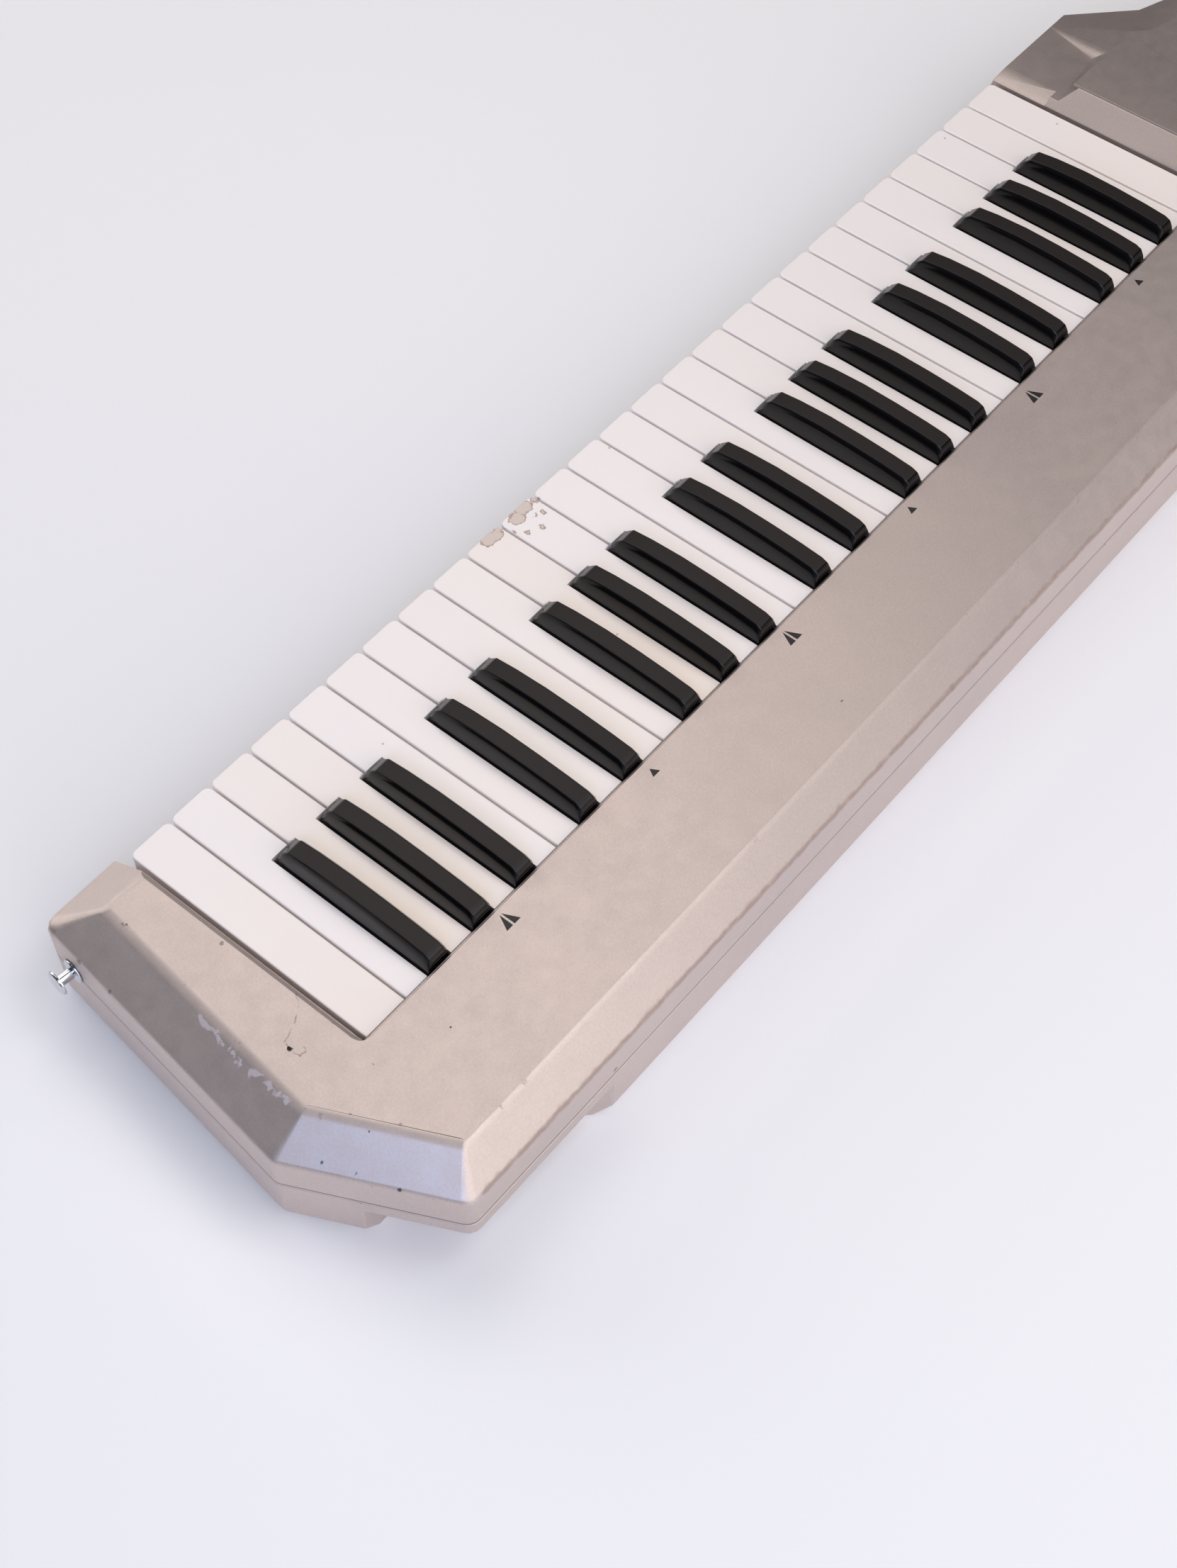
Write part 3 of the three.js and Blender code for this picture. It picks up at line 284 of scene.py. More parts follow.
TAIL_RIDGE = [(35.4, -57, 1), (38.6, -37, 1), (40.2, -3, 1)]
ragged = add(tree, "ShaderNodeMapRange", {
    "Value": patches, "From Min": 0.4, "From Max": 0.62, "To Min": -2.2 * MM, "To Max": 1.6 * MM})
stretches = []
for start, end in zip(TAIL_RIDGE, TAIL_RIDGE[1:]):
    uneven = add(tree, "ShaderNodeMath", {
        0: near_line(tree, bent, at(*start), at(*end)), 1: ragged}, operation="SUBTRACT")
    stretches.append(add(tree, "ShaderNodeMapRange", {
        "Value": uneven, "From Min": 0.8 * MM, "From Max": 1.2 * MM,
        "To Min": 1.0, "To Max": 0.0}))
bare = highest(tree, stretches)
worn = add(tree, "ShaderNodeMix", {
    "Factor": bare, "A": paint, "B": linear("#B9B0B4")}, data_type="RGBA")
add(tree, "ShaderNodeMapRange", {"Value": bare, "To Min": 0.8, "To Max": 0.0},
    to=shader.inputs["Metallic"])
print("bare stretches", len(stretches))

# %% [markdown]
# A darker brownish line is drawn along the lower edge of the back bevel, and grime lies in the
# line where the two halves of the case meet. Knocks leave dark spots. The spots are a table, and
# one loop lays them over each other, so another knock is one more row.

# %% Pearl silver lacquer, grime and spots
PANEL_Z = 3.0
PARTING_Z = -28.5
BEVEL_FOOT = [(16, 77.6, -11), (-640, 77.6, -11)]
# Where each spot is, its radius, its colour and its strength.
SPOTS = [
    ((20.2, 38.1, 3), 0.8, "#8C7B74", 0.6),
    ((29.3, 20.7, 3), 0.7, "#8C7B74", 0.6),
    ((8.2, 12.8, 3), 0.7, "#7E716C", 0.6),
    ((-24.1, 24.8, 3), 0.6, "#4A4243", 0.9),
    ((17.9, -128.2, 3), 0.9, "#54494A", 0.9),
    ((21.6, -123.0, 3), 0.8, "#5E5353", 0.8),
    ((24.4, -109.2, 3), 0.9, "#6A5E5B", 0.8),
    ((6.4, -72.5, 2), 1.5, "#7C6E69", 0.7),
    ((47.7, -98.8, -10.6), 1.6, "#5B5256", 0.5),
    ((46.1, -119.4, -11.1), 2.0, "#5B5256", 0.5),
    ((51.2, -75.9, -11.2), 1.2, "#4C4549", 0.7),
    ((45.0, -141.0, -6), 7.0, "#463E40", 0.6),
    ((46.0, -146.5, -14), 6.0, "#524849", 0.6),
    ((48.1, 21.0, -7.9), 0.9, "#5D5A66", 0.9),
    ((43.2, 34.7, -9.2), 0.7, "#6B6874", 0.7),
    ((29.8, 30.2, 1.7), 0.8, "#5D5A66", 0.9),
    ((40.8, 44.7, -11.0), 0.9, "#4F4C58", 0.9),
    ((36.8, 51.9, -10.7), 1.2, "#4F4C58", 0.9),
    ((33.8, 62.2, -12.1), 0.8, "#5D5A66", 0.8),
    ((31.8, 66.1, -12.1), 0.8, "#5D5A66", 0.8),
    ((28.5, 69.0, -10.8), 0.6, "#6B6874", 0.8),
    ((15.7, 78.4, -5.1), 0.8, "#4A4243", 0.9),
    ((-252.1, 49.0, 3), 0.8, "#5B514F", 0.9),
    ((-62.3, 77.6, -24.8), 1.6, "#6B5F5E", 0.6),
    ((-571.0, 63.0, 3), 7.0, "#75695F", 0.45),
]

# The lower edge of the back bevel is drawn as a darker brownish line.
bevel_foot_distance = near_line(tree, bent, *(at(*end) for end in BEVEL_FOOT))
marked = mark(tree, worn, bevel_foot_distance, 2.6, "#9E8478", 0.6, soft=0.1)
from_seam = add(tree, "ShaderNodeMath", {
    0: along.node.outputs["Z"], 1: at(0, 0, PARTING_Z).z}, operation="SUBTRACT")
from_seam = add(tree, "ShaderNodeMath", {0: from_seam}, operation="ABSOLUTE")
marked = mark(tree, marked, from_seam, 0.6, "#5E4A42", 0.75, soft=0.3)
for where, radius, colour, strength in SPOTS:
    marked = mark(tree, marked, near_point(tree, bent, at(*where)), radius, colour, strength)
print("spots", len(SPOTS))

# %% [markdown]
# A knock beside the keys has left hair cracks round a dark chip. A crack is a chain of short
# lines, each drawn as a mark with a very narrow reach.

# %% Pearl silver lacquer, hair cracks
CHIP = (23.5, -18)
CRACK = [(23.6, -17.9), (22.2, -21.9), (16.1, -23.4), (12.0, -25.1), (7.1, -28.2), (3.1, -34.7)]
RING = [(23.6, -17.9), (24.1, -14.8), (23.3, -12.1), (20.5, -12.0), (19.5, -14.1)]

for path in (CRACK, RING):
    for start, end in zip(path, path[1:]):
        distance = near_line(tree, bent, at(*start, PANEL_Z), at(*end, PANEL_Z))
        marked = mark(tree, marked, distance, 0.55, "#8A6F60", 0.55, soft=0.2)
marked = mark(tree, marked, near_point(tree, bent, at(*CHIP, PANEL_Z)), 1.4, "#2B2425", 1.0)
tree.links.new(marked, shader.inputs["Base Color"])
print("crack lines", len(CRACK) + len(RING) - 2)

# %% [markdown]
# Sprayed lacquer is satin rather than glossy, and it dries with a fine orange peel, about 1.5 mm
# from crest to crest. The peel is a bump, because its height of a few hundredths of a millimetre
# is far too small to be worth real faces.

# %% Pearl silver lacquer, gloss and orange peel
add(tree, "ShaderNodeMapRange", {
    "Value": patches, "From Min": 0.3, "From Max": 0.7,
    "To Min": 0.44, "To Max": 0.52}, to=shader.inputs["Roughness"])
peel = add(tree, "ShaderNodeTexNoise", {"Vector": place, "Scale": per(1.5), "Detail": 2.0})
add(tree, "ShaderNodeBump", {
    "Height": peel, "Strength": 0.08, "Distance": 0.1 * MM}, to=shader.inputs["Normal"])
print("lacquer nodes", len(tree.nodes))

# %% [markdown]
# The white keys are injection-moulded ABS. Fresh ABS is a cool white, and light and hands turn it
# the colour of cream, some keys more than others, and more at the back, where no finger rubs.
# Each key's mesh therefore carries its own amount of yellowing, which the one material reads.

# %% White ABS of the keys, yellowing
FRONT_Y = -110
BACK_Y = -10
white_abs, tree, shader, place = start_material(
    "white_ABS_moulded", IOR=1.53, Subsurface_Weight=0.08, Subsurface_Scale=0.002,
    Coat_Weight=0.0)
shader.inputs["Subsurface Radius"].default_value = (1.0, 0.8, 0.6)

aged = add(tree, "ShaderNodeAttribute", attribute_name="yellowing").node.outputs["Fac"]
stain = add(tree, "ShaderNodeTexNoise", {
    "Vector": place, "Scale": per(45), "Detail": 3.0, "Roughness": 0.55})
uneven = add(tree, "ShaderNodeMapRange", {
    "Value": stain, "From Min": 0.3, "From Max": 0.7, "To Min": 0.6, "To Max": 1.1})
across = add(tree, "ShaderNodeSeparateXYZ", {"Vector": place})
behind = add(tree, "ShaderNodeMapRange", {
    "Value": across.node.outputs["Y"], "From Min": at(0, FRONT_Y, 0).y,
    "From Max": at(0, BACK_Y, 0).y, "To Min": 0.35, "To Max": 1.0})
amount = aged
for other in (uneven, behind):
    amount = add(tree, "ShaderNodeMath", {0: amount, 1: other}, operation="MULTIPLY")
cream = add(tree, "ShaderNodeMix", {
    "Factor": amount, "A": linear("#F7F0EE"), "B": linear("#F1E3D6")}, data_type="RGBA")
print("yellowing nodes", len(tree.nodes))

# %% [markdown]
# Two keys near the middle were knocked at their front edges, where the glossy skin has flaked off
# in ragged patches. Each patch is a disc about a point. A coarse noise bends the discs out of
# round, a fine one tears their rims, and where discs overlap they count as one. Dirt has settled
# along the rim, so the rim is darker than the middle.

# %% White ABS of the keys, flaked fronts
# The middle of each flaked place, and its radius.
FLAKED = [
    ((-225.5, -132.8, 0), 4.4), ((-230.0, -130.5, 0), 3.2), ((-234.0, -132.5, 0), 3.0),
    ((-243.5, -130.0, 0), 4.2), ((-250.0, -132.5, 0), 4.4), ((-257.0, -131.5, 0), 2.4),
    ((-246.5, -117.5, 0), 1.9), ((-240.0, -121.0, 0), 1.4), ((-253.5, -123.0, 0), 1.5),
    ((-249.5, -124.5, 0), 0.9), ((-236.5, -126.0, 0), 0.8),
]

bent = place
for cell_mm, reach_mm in ((7, 7), (1.6, 2.6)):
    bent = bent_by_noise(tree, place, bent, cell_mm, reach_mm, detail=4.0, roughness=0.7)
depth = highest(tree, [
    add(tree, "ShaderNodeMath", {0: radius * MM, 1: near_point(tree, bent, at(*where))},
        operation="SUBTRACT")
    for where, radius in FLAKED])
flaked = add(tree, "ShaderNodeMapRange", {"Value": depth, "From Min": 0.0, "From Max": 0.2 * MM})
rim = add(tree, "ShaderNodeMapRange", {
    "Value": depth, "From Min": 0.3 * MM, "From Max": 1.0 * MM})
broken = add(tree, "ShaderNodeMix", {
    "Factor": rim, "A": linear("#B09485"), "B": linear("#DCCDC3")}, data_type="RGBA")
skin = add(tree, "ShaderNodeMix", {"Factor": flaked, "A": cream, "B": broken}, data_type="RGBA")
print("flaked places", len(FLAKED))

# %% [markdown]
# The moulded skin is glossy, and where it is gone the plastic is dull and lies a little deeper.
# Specks of dust are caught in the gloss, drawn at 0.7 mm and far apart.

# %% White ABS of the keys, dust, gloss and relief
dust = add(tree, "ShaderNodeTexVoronoi", {"Vector": place, "Scale": per(26)})
speck = add(tree, "ShaderNodeMapRange", {
    "Value": dust, "From Min": 0.018, "From Max": 0.03, "To Min": 0.55, "To Max": 0.0})
add(tree, "ShaderNodeMix", {
    "Factor": speck, "A": skin, "B": linear("#8D827D")},
    data_type="RGBA", to=shader.inputs["Base Color"])
add(tree, "ShaderNodeMapRange", {"Value": flaked, "To Min": 0.24, "To Max": 0.7},
    to=shader.inputs["Roughness"])
sunk = add(tree, "ShaderNodeMath", {0: 1.0, 1: flaked}, operation="SUBTRACT")
add(tree, "ShaderNodeBump", {
    "Height": sunk, "Strength": 0.8, "Distance": 0.35 * MM}, to=shader.inputs["Normal"])
print("white key nodes", len(tree.nodes))

# %% [markdown]
# The black keys are ABS too, coloured right through. The mould was polished on the flanks and
# blasted with fine grit on top, where fingers need a grip, so the same plastic is glossy at the
# sides and a duller, warmer dark grey above. Each key's mesh will carry an attribute that is 1 on
# the gritty top, and the material reads it.

# %% Black ABS of the keys
black_abs, tree, shader, place = start_material(
    "black_ABS_gritty_top", IOR=1.46, Specular_IOR_Level=0.4)
on_top = add(tree, "ShaderNodeAttribute", attribute_name="gritty").node.outputs["Fac"]
# The grit's mark is 0.1 mm across, drawn at 0.6 mm.
grit = add(tree, "ShaderNodeTexNoise", {
    "Vector": place, "Scale": per(0.6), "Detail": 2.0, "Roughness": 0.6})
grit_tone = add(tree, "ShaderNodeMix", {
    "Factor": grit, "A": linear("#130F0F"), "B": linear("#271F1F")}, data_type="RGBA")
add(tree, "ShaderNodeMix", {
    "Factor": on_top, "A": linear("#0B0A0C"), "B": grit_tone},
    data_type="RGBA", to=shader.inputs["Base Color"])
add(tree, "ShaderNodeMapRange", {"Value": on_top, "To Min": 0.2, "To Max": 0.5},
    to=shader.inputs["Roughness"])
depth = add(tree, "ShaderNodeMath", {0: on_top, 1: grit}, operation="MULTIPLY")
add(tree, "ShaderNodeBump", {
    "Height": depth, "Strength": 0.35, "Distance": 0.12 * MM}, to=shader.inputs["Normal"])
print("black key nodes", len(tree.nodes))

# %% [markdown]
# On the small pieces one noise does all. It moves the colour between two tones, and it moves the
# roughness too or raises a grain. The neck's controls and the power switch come from etched
# moulds, whose fine even texture kills the gloss. The bend strip's film and the paint of the
# knob's pointer have a grain of the same kind. The chrome of the strap pins has hair scratches
# from wiping, and the screws are steel blackened in oil, which dries unevenly. The triangles on
# the panel are silk-screened in black ink. A metal's colour is its reflection, so metals keep
# the default IOR.

# %% Finishes that one noise makes


def noisy_finish(name, noise, one, other, rough=None, grain=None, **constants):
    """A material between two colours. The noise is given by its cell in mm, its detail and its
    roughness. rough is the range that it moves the gloss through, grain its strength as a bump."""
    material, tree, shader, place = start_material(name, **constants)
    cell_mm, detail, noise_roughness = noise
    amount = add(tree, "ShaderNodeTexNoise", {
        "Vector": place, "Scale": per(cell_mm), "Detail": detail, "Roughness": noise_roughness})
    add(tree, "ShaderNodeMix", {"Factor": amount, "A": linear(one), "B": linear(other)},
        data_type="RGBA", to=shader.inputs["Base Color"])
    if rough:
        add(tree, "ShaderNodeMapRange", {"Value": amount, "To Min": rough[0], "To Max": rough[1]},
            to=shader.inputs["Roughness"])
    if grain:
        add(tree, "ShaderNodeBump", {"Height": amount, "Strength": grain, "Distance": 0.1 * MM},
            to=shader.inputs["Normal"])
    return material


black_etched, grey_etched, film_strip, white_paint = [
    noisy_finish(name, (grain_mm, 3.0, 0.65), dark, light, grain=0.3, IOR=1.53, Roughness=rough)
    for name, dark, light, grain_mm, rough in [
        ("black_ABS_etched", "#1C1C1E", "#2B2B2E", 0.7, 0.5),
        ("grey_ABS_etched", "#4A4A4F", "#5E5E63", 0.7, 0.46),
        ("polyester_film_matt", "#141416", "#242428", 1.2, 0.58),
        ("marking_paint_white", "#DEDCD8", "#ECEAE6", 0.9, 0.42),
    ]]
chrome = noisy_finish("chromed_turned_steel", (1.2, 4.0, 0.7), "#D4D6DA", "#BFC2C8",
                      rough=(0.06, 0.2), Metallic=1.0)
blackened = noisy_finish("oil_blackened_screw_steel", (1.5, 3.0, 0.5), "#26262A", "#4A484A",
                         rough=(0.35, 0.6), Metallic=1.0)
ink = noisy_finish("silk_screen_ink_black", (0.8, 2.0, 0.5), "#151314", "#292627",
                   rough=(0.38, 0.55), IOR=1.48)
print("finishes", black_etched.name, chrome.name, blackened.name, ink.name)

# %% [markdown]
# Inside the case the key chassis is sheet steel with a zinc plating, whose crystals show as pale
# spangles, here the cells of a Voronoi pattern.

# %% Zinc-plated steel
zinc, tree, shader, place = start_material("zinc_plated_sheet_steel", Metallic=1.0)
spangle = add(tree, "ShaderNodeTexVoronoi", {"Vector": place, "Scale": per(6)})
add(tree, "ShaderNodeMix", {
    "Factor": spangle.node.outputs["Color"], "A": linear("#A9ADB2"), "B": linear("#C3C7CB")},
    data_type="RGBA", to=shader.inputs["Base Color"])
add(tree, "ShaderNodeMapRange", {
    "Value": spangle, "To Min": 0.3, "To Max": 0.5}, to=shader.inputs["Roughness"])
print("metal", zinc.name)

# %% [markdown]
# The two boards are glass fibre with a green solder mask. The copper tracks under the mask show
# as slightly lighter lines, here a brick pattern with a 2.54 mm pitch, the spacing that
# electronic parts use.

# %% Solder mask
TRACK_PITCH = 2.54
mask, tree, shader, place = start_material("glass_fibre_board_green_mask", IOR=1.5)
add(tree, "ShaderNodeTexBrick", {
    "Vector": place, "Scale": 1.0, "Mortar Size": 0.35 * MM, "Brick Width": 5 * TRACK_PITCH * MM,
    "Row Height": TRACK_PITCH * MM, "Color1": linear("#1D4A2E"), "Color2": linear("#22553A"),
    "Mortar": linear("#3A7A4E")}, to=shader.inputs["Base Color"])
weave = add(tree, "ShaderNodeTexNoise", {"Vector": place, "Scale": per(1.6)})
add(tree, "ShaderNodeMapRange", {"Value": weave, "To Min": 0.3, "To Max": 0.5},
    to=shader.inputs["Roughness"])
print("board finish", mask.name)

# %% [markdown]
# The eight cells lie end to end in printed foil. A cell is about 50 mm long, so a ping-pong of X
# over that length puts a dark band along each one and leaves its ends silver.

# %% Foil jackets of the cells
CELL_LENGTH = 50
BAND_START = 12
foil, tree, shader, place = start_material("printed_foil_jacket", Metallic=0.7)
along = add(tree, "ShaderNodeSeparateXYZ", {"Vector": place})
band = add(tree, "ShaderNodeMath", {0: along, 1: CELL_LENGTH * MM}, operation="PINGPONG")
ends = add(tree, "ShaderNodeMapRange", {
    "Value": band, "From Min": BAND_START * MM, "From Max": (BAND_START + 1) * MM})
add(tree, "ShaderNodeMix", {
    "Factor": ends, "A": linear("#8C8F96"), "B": linear("#2A2C33")},
    data_type="RGBA", to=shader.inputs["Base Color"])
crinkle = add(tree, "ShaderNodeTexNoise", {"Vector": place, "Scale": per(4), "Detail": 3.0})
add(tree, "ShaderNodeMapRange", {
    "Value": crinkle, "To Min": 0.25, "To Max": 0.45}, to=shader.inputs["Roughness"])
print("cell finish", foil.name)

# %% [markdown]
# Nothing moulded has a truly sharp edge: it would not fill, and it would chip. The rounded edges
# catch the light, and they tell the eye how big a thing is. The frame's solids have sharp edges,
# so each visible piece is a copy whose outward edges get a Bevel modifier.
#
# Edges that nobody can see are left alone, inside the hollow case and under the keys. A ray from
# such an edge, cast the way it points, hits a solid. All solids are in one search tree, so that
# a neighbour hides an edge as well as the piece itself does.

# %% Tell what looks outwards


def all_solids():
    """Every CAD node in one search tree."""
    points, faces = [], []
    for node in frame["nodes"].values():
        first = len(points)
        points.extend(vertex.co for vertex in node.data.vertices)
        faces.extend([first + i for i in face.vertices] for face in node.data.polygons)
    return BVHTree.FromPolygons(points, faces)


SOLIDS = all_solids()
RAY_START = 0.1 * MM


def looks_out(point, direction):
    """True if nothing stands before a point in a direction."""
    return SOLIDS.ray_cast(point + direction * RAY_START, direction)[0] is None


print("above the keys is free:", looks_out(at(0, -50, 20), Vector((0, 0, 1))))

# %% [markdown]
# The frame's meshes are loose triangles. They are joined at their corners first, and then the
# triangles of each flat face that looks outwards are made one face, so that a bevel runs cleanly
# along its whole edge.

# %% Join the triangles
MERGE_MM = 0.002
FLAT = math.radians(0.6)


def joined_shape(mesh):
    """A mesh's triangles joined by distance, with the outward flat faces made whole."""
    shape = bmesh.new()
    shape.from_mesh(mesh)
    bmesh.ops.remove_doubles(shape, verts=shape.verts, dist=MERGE_MM * MM)
    outward = {f for f in shape.faces if looks_out(f.calc_center_median(), f.normal)}
    edges = [e for e in shape.edges if all(face in outward for face in e.link_faces)]
    corners = list(dict.fromkeys(v for e in edges for v in e.verts))
    bmesh.ops.dissolve_limit(shape, angle_limit=FLAT, verts=corners, edges=edges)
    shape.normal_update()
    return shape


sample = joined_shape(frame["nodes"]["upper_case"].data)
print("upper case faces", len(frame["nodes"]["upper_case"].data.polygons), "->", len(sample.faces))
sample.free()

# %% [markdown]
# Every finished piece goes the same way: an object at the origin with its materials, its
# modifiers turned into a plain mesh, and at the end a word to the frame, which body it rides
# on. A shape to be taken out of a piece is a Boolean with the exact solver, because the cut faces
# have to close.

# %% Helpers for finished pieces


def own_object(name, mesh, *materials):
    """An object at the origin for a mesh that is in place already."""
    obj = bpy.data.objects.new(name, mesh)
    bpy.context.scene.collection.objects.link(obj)
    mesh.materials.clear()
    for material in materials:
        mesh.materials.append(material)
    return obj


def made_plain(obj):
    """Turns what an object's modifiers make into its own mesh, and removes them."""
    bpy.context.view_layer.update()
    graph = bpy.context.evaluated_depsgraph_get()
    obj.data = bpy.data.meshes.new_from_object(obj.evaluated_get(graph))
    obj.data.name = obj.name
    obj.modifiers.clear()
    return obj


def hand_over(obj, body):
    """Says which body a finished piece rides on."""
    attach(obj, body)


def cut(obj, cutter):
    """Takes the cutter's shape out of an object."""
    shape = joined_shape(obj.data)
    shape.to_mesh(obj.data)
    shape.free()
    boolean = obj.modifiers.new("cut", "BOOLEAN")
    boolean.operation = "DIFFERENCE"
    boolean.solver = "EXACT"
    boolean.object = cutter
    made_plain(obj)


print("pieces can be made, cut and handed over")

# %% [markdown]
# A ridge is an outward edge at which two faces meet at a clear angle. The gentle edges between
# the narrow facets of a curved corner are left out, because the bevel would eat the facets up.
# Between two broad faces a gentle edge does count. Each ridge's radius is stored as a bevel
# weight, a share of the largest radius on the piece.

# %% Find the ridges and weigh them
SHARP = math.radians(30.5)
GENTLE = math.radians(12)
BROAD = 500 * MM ** 2


def counts_as_ridge(edge):
    """True for an outward edge that is sharp, or gentle but between two broad faces."""
    angle = edge.calc_face_angle_signed(0)
    if len(edge.link_faces) != 2 or angle < GENTLE:
        return False
    return angle > SHARP or min(face.calc_area() for face in edge.link_faces) > BROAD


def weigh_ridges(shape, largest_mm, radius_of):
    """Gives each ridge its weight. radius_of takes its middle and its two faces' directions."""
    weight = shape.edges.layers.float.new("bevel_weight_edge")
    for edge in filter(counts_as_ridge, shape.edges):
        one, other = (face.normal for face in edge.link_faces)
        middle = (edge.verts[0].co + edge.verts[1].co) / 2
        if looks_out(middle, (one + other).normalized()):
            edge[weight] = radius_of(from_keys(middle), one, other) / largest_mm


print("an edge counts from", round(math.degrees(SHARP)), "degrees")

# %% [markdown]
# After the bevel, roundings shade smoothly into the flat faces, and strong edges and inward
# creases stay sharp. Broad level faces are truly flat, so their corners point straight up or
# down, and no reflection bends near their edges. The points inside a rounding are also marked
# for the lacquer, which is rubbed there: the bevel gives its new faces a second material slot,
# and that slot is read and taken off again.

# %% Mark and shade the roundings
STILL_SHARP = math.radians(36)
CREASE = math.radians(-31)
LEVEL = 0.999


def note_edges(mesh):
    """Stores 1 on the points inside a rounding and 0 elsewhere, and unmarks the faces."""
    inside = [1.0] * len(mesh.vertices)
    for face in mesh.polygons:
        if face.material_index == 0:
            for index in face.vertices:
                inside[index] = 0.0
        face.material_index = 0
    mesh.materials.pop()
    mesh.attributes.new("edge", "FLOAT", "POINT").data.foreach_set("value", inside)


def keep_creases(mesh):
    """Keeps the shading sharp across strong edges and across inward creases."""
    shape = bmesh.new()
    shape.from_mesh(mesh)
    for edge in shape.edges:
        edge.smooth = CREASE < edge.calc_face_angle_signed(0) < STILL_SHARP
    shape.to_mesh(mesh)
    shape.free()


def shade_level_faces_flat(mesh):
    """Gives the corners of broad level faces the face's own direction."""
    directions = [corner.vector.copy() for corner in mesh.corner_normals]
    for face in mesh.polygons:
        if face.area > BROAD and abs(face.normal.z) > LEVEL:
            for index in face.loop_indices:
                directions[index] = face.normal.copy()
    mesh.normals_split_custom_set(directions)


print("shading stays sharp from", round(math.degrees(STILL_SHARP)), "degrees")

# %% [markdown]
# With these, one function dresses a node: it copies the node's mesh, cuts it if asked to, rounds
# it, and lets the copy stand for the node. A long ridge that needs two radii is split by a plane.

# %% Round a copy of a node


def round_edges(obj, largest_mm, radius_of, split_x=None):
    """Rounds the outward edges of an object by the radii that radius_of gives."""
    shape = joined_shape(obj.data)
    if split_x is not None:
        everything = [*shape.verts, *shape.edges, *shape.faces]
        bmesh.ops.bisect_plane(
            shape, geom=everything, plane_co=at(split_x, 0, 0), plane_no=(1, 0, 0))
    weigh_ridges(shape, largest_mm, radius_of)
    shape.to_mesh(obj.data)
    shape.free()
    obj.data.materials.append(None)
    bevel = obj.modifiers.new("rounding", "BEVEL")
    bevel.limit_method = "WEIGHT"
    bevel.width = largest_mm * MM
    bevel.segments = 3
    bevel.use_clamp_overlap = False
    bevel.material = 1
    made_plain(obj)
    note_edges(obj.data)
    obj.data.shade_smooth()
    keep_creases(obj.data)
    weighted = obj.modifiers.new("flat faces lead", "WEIGHTED_NORMAL")
    weighted.keep_sharp = True
    made_plain(obj)
    shade_level_faces_flat(obj.data)


def dressed(node, name, material, largest_mm, radius_of, cutter=None, split_x=None):
    """A rounded copy of a CAD node that rides with its body and stands for it."""
    obj = own_object(name, frame["nodes"][node].data.copy(), material)
    if cutter is not None:
        cut(obj, cutter)
    round_edges(obj, largest_mm, radius_of, split_x)
    hand_over(obj, frame["nodes"][node]["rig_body"])
    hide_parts(node)
    return obj


print("nodes to dress", len(frame["nodes"]))

# %% [markdown]
# Screws hold the two halves of the case together from below, each in a round recess, so that
# none of them scratches what the instrument lies on. Their places are used twice: for the
# recesses, cut out of the lower half, and for the screws.

# %% Where the screws are
FLOOR_Z = -62
NECK_FLOOR_Z = -46
RECESS_RADIUS = 4.2
RECESS_DEPTH = 1.9
BODY_SCREWS = [
    (27, -126), (38, -50), (-40, -112), (-200, -112), (-360, -112), (-520, -112),
    (-676, -108), (-90, 24), (-245, 58), (-400, 58), (-560, 40)]
NECK_SCREWS = [(-800, -38), (-900, -38), (-1040, -38)]
SCREW_PLACES = [(x, y, FLOOR_Z) for x, y in BODY_SCREWS] + [
    (x, y, NECK_FLOOR_Z) for x, y in NECK_SCREWS]
print("screws", len(SCREW_PLACES))

# %% [markdown]
# Things that repeat are made by Geometry Nodes. A tree's sizes are named inputs. It ends by
# putting its shape on every point that it gets, stood along the direction stored with the point,
# and by making the copies real, because the export drops instances. A modifier's inputs are set
# by their identifiers, not by their names.

# %% A tree that puts a shape on every point


def start_tree(name, sizes):
    """A new Geometry Nodes tree with a named input for each size, and a material input."""
    tree = bpy.data.node_groups.new(name, "GeometryNodeTree")
    tree.interface.new_socket("Geometry", in_out="INPUT", socket_type="NodeSocketGeometry")
    for size, value in sizes.items():
        socket = tree.interface.new_socket(size, in_out="INPUT", socket_type="NodeSocketFloat")
        socket.default_value = value
    tree.interface.new_socket("Material", in_out="INPUT", socket_type="NodeSocketMaterial")
    tree.interface.new_socket("Geometry", in_out="OUTPUT", socket_type="NodeSocketGeometry")
    return tree, add(tree, "NodeGroupInput").node.outputs


def end_tree(tree, shape, given):
    """Ends a tree: a copy of the shape on every point, made real and given its material."""
    out = add(tree, "GeometryNodeInputNamedAttribute", {"Name": "out"}, data_type="FLOAT_VECTOR")
    aim = add(tree, "FunctionNodeAlignRotationToVector", {"Vector": out}, axis="Z")
    copies = add(tree, "GeometryNodeInstanceOnPoints", {
        "Points": given["Geometry"], "Instance": shape, "Rotation": aim})
    real = add(tree, "GeometryNodeRealizeInstances", {0: copies})
    painted = add(tree, "GeometryNodeSetMaterial", {
        "Geometry": real, "Material": given["Material"]})
    add(tree, "NodeGroupOutput", {0: painted})


def grown(name, points, tree, material, directions, **sizes):
    """Runs a tree on a set of points and keeps the plain mesh that it makes."""
    mesh = bpy.data.meshes.new(name)
    mesh.from_pydata(points, [], [])
    out = mesh.attributes.new("out", "FLOAT_VECTOR", "POINT")
    out.data.foreach_set("vector", [value for each in directions for value in each])
    obj = bpy.data.objects.new(name, mesh)
    bpy.context.scene.collection.objects.link(obj)
    modifier = obj.modifiers.new("nodes", "NODES")
    modifier.node_group = tree
    values = {**sizes, "Material": material}
    for item in tree.interface.items_tree:
        if item.in_out == "INPUT" and item.name in values:
            modifier[item.identifier] = values[item.name]
    return made_plain(obj)


